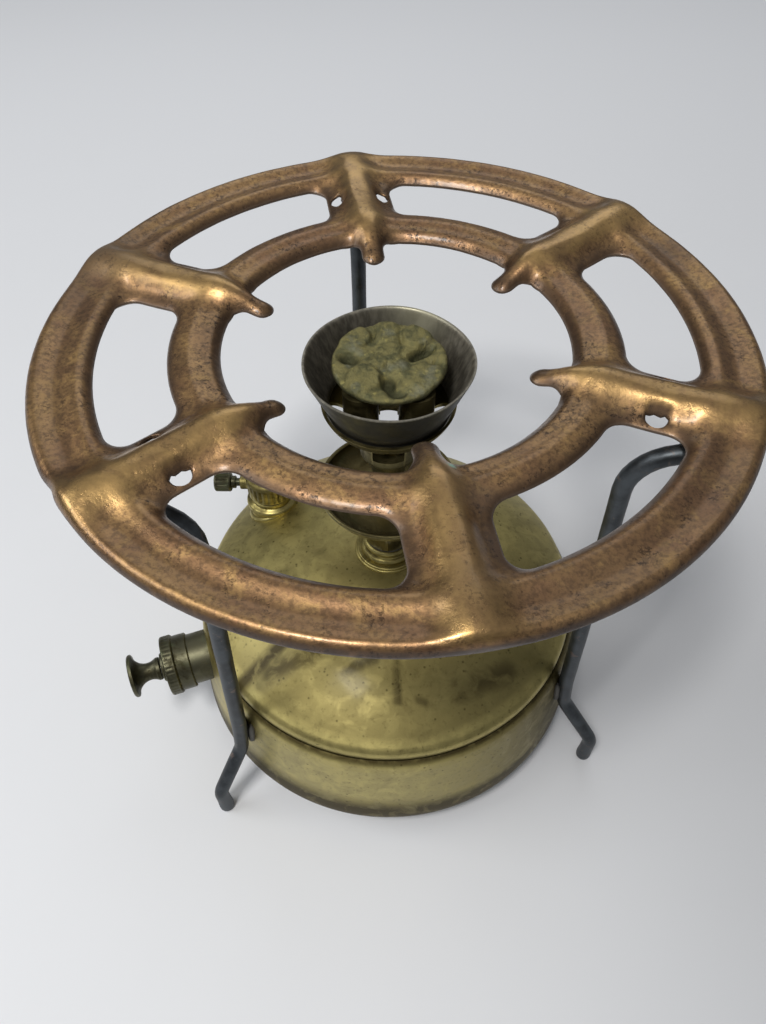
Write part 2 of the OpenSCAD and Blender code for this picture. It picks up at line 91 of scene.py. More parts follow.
class StoveSizes(bpy.types.PropertyGroup):
    """Sizes that a user of this stove would change."""

    turns: IntProperty(
        name="Steps round",
        description="Points round each turned piece",
        default=160,
        min=48,
        max=360,
    )
    sheet: FloatProperty(
        name="Ring sheet",
        description="Thickness of the pot ring's pressed sheet",
        default=0.0014,
        min=0.001,
        max=0.002,
        unit="LENGTH",
        precision=4,
    )
    grain: FloatProperty(
        name="Ring grain",
        description="Spacing of the points over the pot ring",
        default=0.00105,
        min=0.0008,
        max=0.003,
        unit="LENGTH",
        precision=5,
    )
    dents: FloatProperty(
        name="Dents",
        description="Depth of the shallow dents in the tank's sheet",
        default=0.00022,
        min=0.0,
        max=0.0006,
        unit="LENGTH",
        precision=5,
    )
    rod: FloatProperty(
        name="Leg rod",
        description="Radius of the leg rods",
        default=0.003,
        min=0.0025,
        max=0.003,
        unit="LENGTH",
        precision=4,
    )


def colour(name, text, value):
    """A colour that a user can change."""
    return FloatVectorProperty(
        name=name,
        description=text,
        subtype="COLOR",
        size=3,
        min=0.0,
        max=1.0,
        default=value,
    )


class StoveColours(bpy.types.PropertyGroup):
    """Base colours of the stove's finishes."""

    ring: colour("Pot ring", "Rubbed copper-brown of the pressed ring", (0.38, 0.23, 0.10))
    ring_dark: colour("Ring stain", "Burnt brown in the ring's hollows", (0.06, 0.038, 0.026))
    tank: colour("Tank brass", "Olive-yellow brass of the tank", (0.45, 0.38, 0.145))
    # The tank stain colour also colours the painted shade on the tank.
    tank_dark: colour("Tank stain", "Brown-green stain on the tank", (0.075, 0.058, 0.022))
    burner: colour("Burner brass", "Heat-dulled brass of the burner", (0.16, 0.135, 0.062))
    head: colour("Burner head", "Rough yellow-green crown of the burner", (0.22, 0.195, 0.08))
    pump: colour("Pump brass", "Dark green-brown brass of the pump", (0.10, 0.095, 0.06))
    flame: colour("Flame ring", "Blued sheet of the flame ring", (0.16, 0.145, 0.115))
    legs: colour("Leg rod", "Dark grey rod of the legs", (0.06, 0.067, 0.073))
    floor: colour("Floor", "Pale studio floor", (0.72, 0.73, 0.75))


# ---------------------------------------------------------------- mesh helpers


def corner(before, here, after, radius, count):
    """The arc that rounds the corner at here, as count + 1 points from the first straight to the second."""
    a, b = (before - here).normalized(), (after - here).normalized()
    half = a.angle(b) / 2
    centre = here + (a + b).normalized() * (radius / math.sin(half))
    u = here + a * (radius / math.tan(half)) - centre
    w = here + b * (radius / math.tan(half)) - centre
    turn = u.angle(w)
    return [
        centre + (u * math.sin((1 - k / count) * turn) + w * math.sin(k / count * turn)) / math.sin(turn)
        for k in range(count + 1)
    ]


def rounded(points):
    """A profile's points. A third number rounds that corner with an arc of that radius."""
    out = []
    for i, p in enumerate(points):
        if len(p) < 3:
            out.append((p[0], p[1]))
            continue
        near = [Vector(q[:2]) for q in (points[i - 1], p, points[i + 1])]
        out += [tuple(q) for q in corner(*near, p[2], 5)]
    return out


def spun(p, degrees):
    """A plan point turned about the stove's axis."""
    c, s = math.cos(math.radians(degrees)), math.sin(math.radians(degrees))
    return Vector((p[0] * c - p[1] * s, p[0] * s + p[1] * c))


def pointing(degrees):
    """The level direction at an angle from +X."""
    return Vector((math.cos(math.radians(degrees)), math.sin(math.radians(degrees)), 0.0))


def upward(z):
    """A step straight up."""
    return Vector((0.0, 0.0, z))


def unit(values):
    """Numbers held between 0 and 1."""
    return np.clip(values, 0, 1)


def bell(off, width):
    """A bell-shaped share: 1 at no distance, falling off over a width."""
    return np.exp(-((off / width) ** 2))


def arc(cx, cz, r, a0, a1, count=10):
    """Points of an arc in a profile, by angle in degrees from +R towards +Z."""
    return [
        (
            cx + r * math.cos(math.radians(a0 + (a1 - a0) * k / count)),
            cz + r * math.sin(math.radians(a0 + (a1 - a0) * k / count)),
        )
        for k in range(count + 1)
    ]


def divided(points, longest):
    """A profile with its long straight stretches divided, so that dents and ripples have points to move."""
    out = [points[0]]
    for a, b in zip(points, points[1:]):
        count = max(1, math.ceil(math.dist(a, b) / longest))
        out += [tuple(a[j] + (b[j] - a[j]) * k / count for j in (0, 1)) for k in range(1, count + 1)]
    return out


def new_mesh(name, verts, faces, sharp=35.0):
    """A smooth-shaded object from points in millimetres, with its edges sharp above an angle."""
    mesh = bpy.data.meshes.new(name)
    mesh.from_pydata([tuple(c * MM for c in v) for v in verts], [], faces)
    mesh.validate()
    bm = bmesh.new()
    bm.from_mesh(mesh)
    bmesh.ops.recalc_face_normals(bm, faces=bm.faces)
    bm.to_mesh(mesh)
    bm.free()
    mesh.shade_smooth()
    mesh.set_sharp_from_angle(angle=math.radians(sharp))
    piece = bpy.data.objects.new(name, mesh)
    bpy.context.collection.objects.link(piece)
    return piece


def joined(rows, closed=False):
    """The faces between neighbouring rows of points, each row a loop. A row that repeats one point is a pole."""
    faces = []
    for low, high in list(zip(rows, rows[1:])) + ([(rows[-1], rows[0])] if closed else []):
        for k in range(len(low)):
            j = (k + 1) % len(low)
            corners = tuple(dict.fromkeys((low[k], low[j], high[j], high[k])))
            if len(corners) > 2:
                faces.append(corners)
    return faces


def turned(name, profile, closed=False, place=AXIS, segments=None, shape=None):
    """A piece turned on a lathe from a profile of (radius, height). shape(r, z, angle) may change each radius."""
    segments = segments or bpy.context.scene.stove_sizes.turns
    verts, rows = [], []
    for r, z in profile:
        if r < 1e-6:
            rows.append([len(verts)] * segments)
            verts.append(place @ upward(z))
            continue
        rows.append(list(range(len(verts), len(verts) + segments)))
        for k in range(segments):
            a = 2 * math.pi * k / segments
            q, h = (r, z) if shape is None else shape(r, z, a)
            verts.append(place @ Vector((q * math.cos(a), q * math.sin(a), h)))
    return new_mesh(name, verts, joined(rows, closed))


def swept(name, path, radius, sides=24, closed=False):
    """A round bar along a path. radius(share of the length) gives its radius, and its ends are flat."""
    pts = [Vector(p) for p in path]
    count = len(pts)
    length = [0.0]
    for a, b in zip(pts, pts[1:]):
        length.append(length[-1] + (b - a).length)
    ways = []
    for i in range(count):
        before = pts[i - 1] if closed or i > 0 else pts[i]
        after = pts[(i + 1) % count] if closed or i < count - 1 else pts[i]
        ways.append((after - before).normalized())
    side = ways[0].orthogonal().normalized()
    verts, rows = [], []
    for i in range(count):
        if i:
            side.rotate(ways[i - 1].rotation_difference(ways[i]))
        up = ways[i].cross(side).normalized()
        r = radius(length[i] / length[-1])
        rows.append(list(range(len(verts), len(verts) + sides)))
        for k in range(sides):
            a = 2 * math.pi * k / sides
            verts.append(pts[i] + (side * math.cos(a) + up * math.sin(a)) * r)
    ends = [] if closed else [tuple(reversed(rows[0])), tuple(rows[-1])]
    return new_mesh(name, verts, joined(rows, closed) + ends, 50.0)


def bent(points, radii):
    """The centre line of a bent rod through 3-D points, with a bend of the given radius at each inner point."""
    out = [Vector(points[0])]
    for i in range(1, len(points) - 1):
        near = [Vector(q) for q in points[i - 1 : i + 2]]
        out += corner(*near, radii[i - 1], 8)
    out.append(Vector(points[-1]))
    return out


def spaced(path, gap):
    """A path with extra points, so that none are further apart than gap."""
    out = [path[0]]
    for a, b in zip(path, path[1:]):
        count = max(1, math.ceil((b - a).length / gap))
        out += [a.lerp(b, k / count) for k in range(1, count + 1)]
    return out


def cut(piece, cutter):
    """Takes cutter out of piece for good."""
    tool = piece.modifiers.new("cut", "BOOLEAN")
    tool.operation, tool.solver, tool.object = "DIFFERENCE", "EXACT", cutter
    bpy.context.view_layer.update()
    done = piece.evaluated_get(bpy.context.evaluated_depsgraph_get())
    mesh = bpy.data.meshes.new_from_object(done)
    piece.modifiers.clear()
    old = piece.data
    piece.data = mesh
    bpy.data.meshes.remove(old)
    bpy.data.objects.remove(cutter)
    mesh.shade_smooth()
    mesh.set_sharp_from_angle(angle=math.radians(30))


def block(low, high):
    """A plain box to cut with, in millimetres."""
    verts = [Vector((x, y, z)) for x in (low[0], high[0]) for y in (low[1], high[1]) for z in (low[2], high[2])]
    faces = [(0, 1, 3, 2), (4, 6, 7, 5), (0, 4, 5, 1), (2, 3, 7, 6), (0, 2, 6, 4), (1, 5, 7, 3)]
    return new_mesh("cutter", verts, faces)


def softened(piece, width, angle):
    """Rounds a piece's sharp edges."""
    edge = piece.modifiers.new("worn edges", "BEVEL")
    edge.width, edge.segments, edge.limit_method = width * MM, 2, "ANGLE"
    edge.angle_limit = math.radians(angle)
    edge.harden_normals = False


def finish_piece(piece, body, slot, finish, *nodes):
    """Gives a piece its finish, its body and the CAD nodes that it stands for."""
    piece.data.materials.clear()
    piece.data.materials.append(FINISHES[finish])
    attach(piece, body)
    if nodes:
        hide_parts(*nodes)


def dress(finish, *nodes):
    """Gives CAD nodes that stay in view their finish."""
    for node in nodes:
        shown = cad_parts[node]
        if not shown.material_slots:
            shown.data.materials.append(FINISHES[finish])
        for held in shown.material_slots:
            held.material = FINISHES[finish]


def store(piece, name, values):
    """Keeps one number for each point of a piece, for its finish to read."""
    kept = piece.data.attributes.new(name, "FLOAT", "POINT")
    kept.data.foreach_set("value", np.asarray(values, np.float32))


def wobble(p, scale, seed=0.0):
    """Smooth noise from -1 to 1 at a point in millimetres."""
    return noise.noise(Vector((p[0] / scale + seed, p[1] / scale - seed, p[2] / scale + 2 * seed)))


# ---------------------------------------------------------------- finishes


class Finish:
    """A node material under construction, with short names for its usual nodes."""

    def __init__(self, name):
        self.material = bpy.data.materials.new(name)
        self.material.use_nodes = True
        self.tree = self.material.node_tree
        self.tree.nodes.clear()
        self.out = self.tree.nodes.new("ShaderNodeOutputMaterial")
        self.shader = self.tree.nodes.new("ShaderNodeBsdfPrincipled")
        self.link(self.shader.outputs["BSDF"], self.out.inputs["Surface"])
        self.place = self.tree.nodes.new("ShaderNodeTexCoord").outputs["Object"]

    def link(self, source, target):
        """Sets a socket to a number or a colour, or links it to another node."""
        if isinstance(source, (int, float)):
            target.default_value = source
        elif isinstance(source, (tuple, list)) or hasattr(source, "r"):
            target.default_value = (*source[:3], 1.0)
        else:
            self.tree.links.new(source, target)

    def node(self, kind, inputs=None, **settings):
        """One shader node, with its own settings and its inputs set or linked."""
        made = self.tree.nodes.new("ShaderNode" + kind)
        for name, value in settings.items():
            setattr(made, name, value)
        for socket, value in (inputs or {}).items():
            self.link(value, made.inputs[socket])
        return made

    def stretched(self, x, y, z):
        """The place, with each axis made finer or coarser."""
        made = self.node("Mapping", {"Vector": self.place})
        made.inputs["Scale"].default_value = (x, y, z)
        return made.outputs["Vector"]

    def noise(self, size, detail=4.0, rough=0.55, place=None, warp=0.0):
        """Noise whose features are about size millimetres across."""
        inputs = {"Vector": place or self.place, "Scale": 1000.0 / size, "Detail": detail}
        return self.node("TexNoise", {**inputs, "Roughness": rough, "Distortion": warp}).outputs["Fac"]

    def cells(self, size):
        """The distance to the middle of cells that are about size millimetres across."""
        return self.node("TexVoronoi", {"Vector": self.place, "Scale": 1000.0 / size}).outputs["Distance"]

    def stored(self, name):
        """A number kept with the mesh."""
        return self.node("Attribute", attribute_name=name).outputs["Fac"]

    def span(self, source, low, high, start=0.0, end=1.0):
        """Maps low..high of a number to start..end, smoothly and clamped."""
        inputs = {"Value": source, "From Min": low, "From Max": high, "To Min": start, "To Max": end}
        return self.node("MapRange", inputs, interpolation_type="SMOOTHSTEP").outputs["Result"]

    def reckon(self, kind, a, b):
        """One sum with two numbers."""
        return self.node("Math", {0: a, 1: b}, operation=kind, use_clamp=kind in ("ADD", "SUBTRACT")).outputs["Value"]

    def times(self, a, b):
        """Two numbers multiplied."""
        return self.reckon("MULTIPLY", a, b)

    def blend(self, share, a, b):
        """A share of colour b over colour a."""
        made = self.node("Mix", data_type="RGBA", blend_type="MIX")
        for socket, value in (("Factor", share), (6, a), (7, b)):
            self.link(value, made.inputs[socket])
        return made.outputs[2]

    def edges(self, low=0.50, high=0.56):
        """How much a point lies on a raised edge."""
        return self.span(self.node("NewGeometry").outputs["Pointiness"], low, high)

    def bump(self, height, depth, below=None, strength=1.0):
        """Relief of a depth in millimetres, over any relief below it."""
        made = self.node("Bump", {"Height": height, "Strength": strength, "Distance": depth * MM})
        if below is not None:
            self.link(below, made.inputs["Normal"])
        return made.outputs["Normal"]

    def coat(self, weight, rough):
        """A thin film that gives pale highlights."""
        self.link(weight, self.shader.inputs["Coat Weight"])
        self.link(rough, self.shader.inputs["Coat Roughness"])

    def axis(self, name):
        """The place along one axis, in metres."""
        return self.node("SeparateXYZ", {"Vector": self.place}).outputs[name]

    def done(self, base, rough, metal=1.0, normal=None):
        """The finished material."""
        for socket, value in (("Base Color", base), ("Roughness", rough), ("Metallic", metal)):
            self.link(value, self.shader.inputs[socket])
        if normal is not None:
            self.link(normal, self.shader.inputs["Normal"])
        return self.material


def tint(value, k):
    """A colour made lighter or darker."""
    return tuple(min(1.0, c * k) for c in tuple(value)[:3])


def aged_brass(name, base, stain, rough=(0.28, 0.55), blotch=22.0, amount=0.5, pits=0.5, green=0.0):
    """Brass with cloudy stain, small pits, fine scratches and rubbed edges."""
    f = Finish(name)
    cloud = f.span(f.noise(blotch, 6.0, 0.62, warp=0.6), 0.56 - 0.2 * amount, 0.72 - 0.1 * amount)
    fine = f.noise(3.2, 5.0, 0.6)
    warm = f.blend(f.span(f.noise(9.0, 3.0), 0.35, 0.7), tint(base, 0.86), tint(base, 1.12))
    body = f.blend(f.times(cloud, 0.75), warm, stain)
    if green:
        film = f.span(f.noise(14.0, 5.0, 0.6, warp=1.0), 0.5, 0.75, 0.0, green)
        body = f.blend(film, body, (0.16, 0.2, 0.1))
    spots = f.span(f.cells(3.4), 0.10, 0.22, 1.0, 0.0)
    rare = f.span(f.noise(6.0, 2.0), 0.56, 0.64)
    spot = f.times(f.times(spots, rare), pits)
    body = f.blend(spot, body, tint(stain, 0.45))
    worn = f.edges()
    body = f.blend(f.times(worn, 0.6), body, tint(base, 1.5))
    scratch = f.noise(2.0, 3.0, 0.7, place=f.stretched(1.0, 7.0, 1.0))
    gloss = f.span(f.reckon("ADD", f.times(cloud, 0.5), f.times(scratch, 0.5)), 0.2, 0.8, *rough)
    normal = f.bump(fine, 0.05, strength=0.6)
    normal = f.bump(spot, -0.25, normal, 0.8)
    normal = f.bump(scratch, 0.02, normal, 0.5)
    return f.done(body, gloss, 1.0, normal)


def tank_finish(colours):
    """Olive-yellow brass: mottled, freckled and brown where the mesh says that it is stained."""
    f = Finish("tank brass")
    base, stain = tuple(colours.tank), tuple(colours.tank_dark)
    wide, mid, fine = f.noise(26.0, 6.0, 0.62, warp=0.5), f.noise(8.0, 5.0, 0.62, warp=0.7), f.noise(2.2, 5.0, 0.65)
    body = f.blend(f.span(mid, 0.34, 0.68), tint(base, 0.84), tint(base, 1.12))
    body = f.blend(f.span(wide, 0.52, 0.7, 0.0, 0.3), body, stain)
    # The stored stain value carries real stains and painted shade alike, and both darken towards the stain colour
    # here.
    patch = f.times(f.stored("stain"), f.span(mid, 0.32, 0.56, 0.72, 1.15))
    body = f.blend(patch, body, stain)
    body = f.blend(f.span(fine, 0.52, 0.72, 0.0, 0.35), body, tint(stain, 1.2))
    freckle = f.times(f.span(f.cells(2.6), 0.10, 0.26, 1.0, 0.0), f.span(f.noise(7.0, 3.0, 0.6), 0.5, 0.6))
    body = f.blend(f.times(freckle, 0.6), body, tint(stain, 0.5))
    gloss = f.span(f.reckon("ADD", f.times(mid, 0.5), f.times(patch, 0.4)), 0.15, 0.7, 0.42, 0.60)
    normal = f.bump(fine, 0.05, strength=0.6)
    normal = f.bump(mid, 0.10, normal, 0.6)
    f.coat(0.12, 0.2)
    return f.done(body, gloss, 1.0, normal)


def ring_finish(colours):
    """Copper-brown pressed sheet: golden where it is rubbed, burnt in the hollows, specked with dark pits."""
    f = Finish("rubbed copper sheet")
    base, dark = tuple(colours.ring), tuple(colours.ring_dark)
    wide = f.noise(34.0, 5.0, 0.6, warp=0.8)
    mid = f.noise(10.0, 6.0, 0.66, warp=0.6)
    fine = f.noise(1.5, 4.0, 0.7)
    gold, rosy, brown = (0.53, 0.34, 0.13), (0.26, 0.145, 0.074), (0.11, 0.066, 0.038)
    body = f.blend(f.span(wide, 0.35, 0.66), rosy, base)
    body = f.blend(f.span(mid, 0.48, 0.7, 0.0, 0.65), body, gold)
    body = f.blend(f.span(fine, 0.42, 0.64, 0.0, 0.6), body, brown)
    rise = f.stored("rise")
    rubbed = f.times(f.span(rise, 0.42, 0.9), f.span(mid, 0.3, 0.6, 0.4, 1.0))
    body = f.blend(f.times(rubbed, 0.7), body, gold)
    hollow = f.times(f.span(rise, 0.42, 0.05), f.span(mid, 0.38, 0.58, 0.2, 0.95))
    body = f.blend(hollow, body, brown)
    # The stored burn value holds scorch marks together with painted shade on the rim's low wall, on the ear flaps and
    # over the front right.
    burn_and_shade = f.times(f.stored("burn_and_shade"), f.span(mid, 0.3, 0.62, 0.6, 1.0))
    body = f.blend(burn_and_shade, body, dark)
    # Dark specks gather in patches, mostly in the hollows
    patch = f.span(f.noise(12.0, 5.0, 0.7, warp=1.4), 0.47, 0.6)
    speck = f.times(f.span(f.noise(1.3, 3.0, 0.75), 0.5, 0.6), patch)
    speck = f.times(speck, f.span(rise, 0.5, 0.15, 0.45, 1.0))
    dots = f.times(f.span(f.cells(3.1), 0.05, 0.14, 1.0, 0.0), f.span(f.noise(11.0, 3.0, 0.7), 0.5, 0.6))
    pit = f.reckon("MAXIMUM", speck, f.times(dots, 0.6))
    body = f.blend(f.times(pit, 0.95), body, tint(dark, 0.6))
    rolled = f.times(f.span(f.stored("lip"), 3.2, 0.6), f.span(mid, 0.3, 0.6, 0.35, 0.75))
    body = f.blend(rolled, body, brown)
    lip = f.span(f.stored("lip"), 1.0, 0.1)
    body = f.blend(f.times(lip, 0.6), body, (0.13, 0.095, 0.07))
    verdigris = f.stored("verdigris")
    body = f.blend(f.times(verdigris, 0.85), body, (0.13, 0.36, 0.27))
    gloss = f.span(mid, 0.3, 0.7, 0.34, 0.52)
    gloss = f.reckon("SUBTRACT", gloss, f.times(rubbed, 0.14))
    gloss = f.reckon("ADD", gloss, f.times(f.reckon("MAXIMUM", pit, burn_and_shade), 0.25))
    normal = f.bump(f.noise(3.0, 5.0, 0.65), 0.10, strength=0.8)
    normal = f.bump(fine, 0.045, normal, 0.7)
    normal = f.bump(pit, -0.06, normal, 0.8)
    dull = f.reckon("MAXIMUM", f.times(burn_and_shade, 0.7), f.times(lip, 0.5))
    metal = f.span(f.reckon("MAXIMUM", verdigris, dull), 0.0, 1.0, 1.0, 0.15)
    f.coat(0.28, 0.2)
    return f.done(body, gloss, metal, normal)


def head_finish(colours):
    """The rough, heat-bleached crown of the burner."""
    f = Finish("heat-bleached brass")
    base = tuple(colours.head)
    mid = f.noise(5.0, 6.0, 0.65, warp=0.7)
    body = f.blend(f.span(mid, 0.38, 0.62), (0.10, 0.098, 0.045), base)
    body = f.blend(f.span(f.noise(2.6, 4.0, 0.6), 0.58, 0.7, 0.0, 0.5), body, (0.42, 0.36, 0.12))
    grey = f.span(f.noise(8.0, 4.0), 0.52, 0.68, 0.0, 0.45)
    body = f.blend(grey, body, (0.21, 0.215, 0.165))
    # Painted shade: the low hollows and the rounded side of the crown are painted nearly black.
    body = f.blend(f.span(f.stored("rise"), 0.62, 0.05, 0.0, 0.9), body, (0.045, 0.045, 0.02))
    crumbs = f.noise(1.3, 5.0, 0.7)
    normal = f.bump(crumbs, 0.5, strength=1.0)
    normal = f.bump(mid, 0.3, normal, 0.6)
    return f.done(body, f.span(mid, 0.3, 0.7, 0.5, 0.72), 0.75, normal)


def flame_finish(colours):
    """Blued sheet with a brown heat patch and upright streaks."""
    f = Finish("blued flame sheet")
    base = tuple(colours.flame)
    streak = f.noise(1.6, 3.0, 0.6, place=f.stretched(1.0, 1.0, 0.08))
    body = f.blend(f.span(streak, 0.35, 0.7), tint(base, 0.7), tint(base, 1.35))
    heat = f.stored("heat")
    body = f.blend(f.times(heat, 0.85), body, (0.30, 0.12, 0.075))
    pale = f.stored("pale")
    body = f.blend(f.times(pale, 0.8), body, (0.36, 0.34, 0.24))
    # Painted shade: the outside of the cone is painted nearly black.
    body = f.blend(f.times(f.stored("outside"), 0.95), body, tint(base, 0.13))
    body = f.blend(f.times(f.edges(0.51, 0.6), 0.35), body, (0.3, 0.29, 0.24))
    cloud = f.noise(7.0, 4.0, 0.6)
    normal = f.bump(streak, 0.03, strength=0.5)
    normal = f.bump(cloud, 0.06, normal, 0.4)
    return f.done(body, f.span(cloud, 0.3, 0.7, 0.38, 0.56), 0.7, normal)


def rod_finish(colours):
    """Dark grey drawn rod, scuffed and slightly rusted."""
    f = Finish("dark drawn rod")
    base = tuple(colours.legs)
    cloud = f.noise(12.0, 5.0, 0.6)
    body = f.blend(f.span(cloud, 0.35, 0.65), tint(base, 0.65), tint(base, 1.5))
    rust = f.times(f.span(f.noise(4.0, 5.0, 0.65, warp=0.7), 0.6, 0.7), 0.55)
    body = f.blend(rust, body, (0.13, 0.075, 0.045))
    scuff = f.noise(1.4, 4.0, 0.65, place=f.stretched(1.0, 1.0, 0.15))
    normal = f.bump(scuff, 0.05, strength=0.6)
    return f.done(body, f.span(cloud, 0.3, 0.7, 0.36, 0.56), f.span(rust, 0.0, 0.5, 0.85, 0.2), normal)


def plain_finish(name, base, rough, metal, size=4.0, depth=0.05):
    """A simple finish for pieces that hardly show, still with variation and grain."""
    f = Finish(name)
    cloud = f.noise(size, 5.0, 0.6)
    body = f.blend(f.span(cloud, 0.3, 0.7), tint(base, 0.7), tint(base, 1.25))
    normal = f.bump(f.noise(size * 0.25, 4.0, 0.6), depth, strength=0.6)
    return f.done(body, f.span(cloud, 0.3, 0.7, rough - 0.08, rough + 0.08), metal, normal)


FINISHES = {}


def make_finishes():
    """Makes every finish once."""
    c = bpy.context.scene.stove_colours
    FINISHES.update(
        ring=ring_finish(c),
        tank=tank_finish(c),
        cap=aged_brass("cap brass", tint(c.tank, 0.62), tint(c.tank_dark, 0.7), (0.42, 0.6), 7.0, 0.7, 0.4),
        socket=aged_brass("socket brass", tint(c.tank, 0.8), tuple(c.tank_dark), (0.38, 0.56), 7.0, 0.7, 0.3),
        burner=aged_brass("burner brass", tuple(c.burner), tint(c.tank_dark, 0.5), (0.36, 0.56), 9.0, 0.7, 0.4, 0.3),
        pump=aged_brass("pump brass", tuple(c.pump), tint(c.tank_dark, 0.4), (0.42, 0.62), 8.0, 0.6, 0.4, 0.5),
        head=head_finish(c),
        flame=flame_finish(c),
        rod=rod_finish(c),
        # The solder is dark partly in its own colour and partly as painted shade between each leg and the tank's
        # wall; the burner washer shares it.
        solder=plain_finish("dull solder", (0.10, 0.095, 0.085), 0.55, 0.8),
        bright=plain_finish("bright rod", (0.5, 0.5, 0.47), 0.3, 1.0),
        rubber=plain_finish("aged gasket", (0.03, 0.03, 0.028), 0.7, 0.0),
        leather=plain_finish("oiled leather", (0.14, 0.075, 0.04), 0.6, 0.0, 2.0, 0.12),
    )


# ---------------------------------------------------------------- tank


def dome_height(r):
    """Height of the dome's outside at a distance from the axis."""
    return DOME_BALL_Z + math.sqrt(DOME_BALL_R**2 - r * r)


# Brown patches on the dome, each from one plan point to another, with its half width and its depth
TANK_STAINS = (
    ((-62.0, -54.5), (-41.0, -39.0), 3.6, 1.0),
    ((-46.0, -50.0), (-28.0, -45.0), 6.5, 0.85),
    ((3.8, -46.0), (4.3, -63.0), 2.3, 0.9),
    ((-16.0, -52.0), (-5.0, -48.0), 4.0, 0.8),
    ((28.0, -58.0), (48.0, -49.0), 8.0, 0.8),
    ((12.0, -62.0), (18.0, -64.0), 3.0, 0.75),
    ((26.0, -24.0), (60.0, -8.0), 14.0, 0.35),
    ((-14.0, -14.0), (10.0, -18.0), 9.0, 0.45),
    ((-22.0, -61.0), (-14.0, -63.0), 3.0, 0.3),
)


def wall_radius(z):
    """The radius of the tank's wall, which leans in from its foot to its shoulder."""
    return WALL_R - WALL_LEAN * max(0.0, z - FOOT_TOP_Z)


def build_tank():
    """The dome and the wall of the tank, with shallow dents."""
    dents = bpy.context.scene.stove_sizes.dents / MM

    def dented(r, z, a):
        p = (r * math.cos(a), r * math.sin(a), z)
        deep = max(0.0, wobble(p, 26.0, 3.1)) + 0.35 * abs(wobble(p, 9.0, 7.7))
        return r - 0.4 * dents * deep, z - dents * deep if z > 66 else z

    outer = [(r, dome_height(r)) for r in np.linspace(7.5, 78.6, 110)]
    outer += arc(76.3, 63.25, 4.2, 36.0, 0.0, 10) + [(80.5, 61.6), (80.5, 60.6)]
    inner = [(79.6, 60.6), (79.4, 62.4)] + [(r, dome_height(r) - 0.9) for r in (77.6, 70.0, 55.0, 40.0, 25.0, 7.5)]
    wall = [(80.62, 60.4), (80.62, 61.3), (80.8, 61.9)] + arc(78.11, 57.28, 5.0, 57.0, 6.5, 12)
    wall += [(wall_radius(z), z) for z in np.linspace(SHOULDER_Z, 19.0, 40)]
    wall += arc(78.8, 17.0, 9.0, 0.0, -90.0, 12) + [(74.0, 8.0), (74.0, 9.0)]
    wall += arc(78.8, 17.0, 8.0, -90.0, 0.0, 8) + [(wall_radius(SHOULDER_Z) - 1.0, SHOULDER_Z), (81.2, 60.4)]
    for node, profile in (("tank_dome", outer + inner), ("tank_wall", wall)):
        skin = turned(node + "_skin", profile, closed=True, segments=240, shape=dented)
        if node == "tank_wall":
            # The pump's tube passes through the wall, and its piston moves inside the tube
            way = [(0.0, 60.0), (PUMP_WAY_R, 60.0), (PUMP_WAY_R, 100.0), (0.0, 100.0)]
            cut(skin, turned("pump_way", way, place=PUMP_FRAME, segments=64))
        # The stored stain value holds real stains together with painted shade: a darker wall foot, a darker right and
        # back side of the wall, and the ring's shadow on the dome's front.
        store(skin, "stain", stained_and_shaded(skin))
        finish_piece(skin, "tank", "tank_brass", "tank", node)
    dress("tank", "tank_base")


def stained_and_shaded(piece):
    """Where the tank's brass has gone brown, for each point of a piece."""
    p = np.empty(3 * len(piece.data.vertices))
    piece.data.vertices.foreach_get("co", p)
    x, y, z = (p.reshape(-1, 3) / MM).T
    total = np.zeros(len(x))
    for (ax, ay), (bx, by), size, deep in TANK_STAINS:
        dx, dy = bx - ax, by - ay
        share = unit(((x - ax) * dx + (y - ay) * dy) / (dx**2 + dy**2 + 1e-9))
        off = np.hypot(x - ax - share * dx, y - ay - share * dy)
        total = np.maximum(total, deep * bell(off, size) * (z > SEAM_Z))
    on_wall = z < SEAM_Z
    r, turn = np.hypot(x, y), np.degrees(np.arctan2(y, x))
    # Painted shade: the wall darkens towards its foot (foot) and over its right and back side (away), and the ring's
    # shadow is painted across the front of the dome (near). The line below the seam is darker too (groove).
    foot = on_wall * unit((34.0 - z) / 12.0)
    away = on_wall * 0.75 * unit((turn + 88.0) / 50.0) * unit((180.0 - turn) / 45.0)
    groove = bell(z - 61.4, 1.3) * (r > 80.0) * 0.9
    near = 0.5 * unit((-y - 18.0) / 30.0) * ~on_wall * unit((77.5 - r) / 3.0)
    return unit(np.maximum.reduce([total, foot, away, groove, near]))


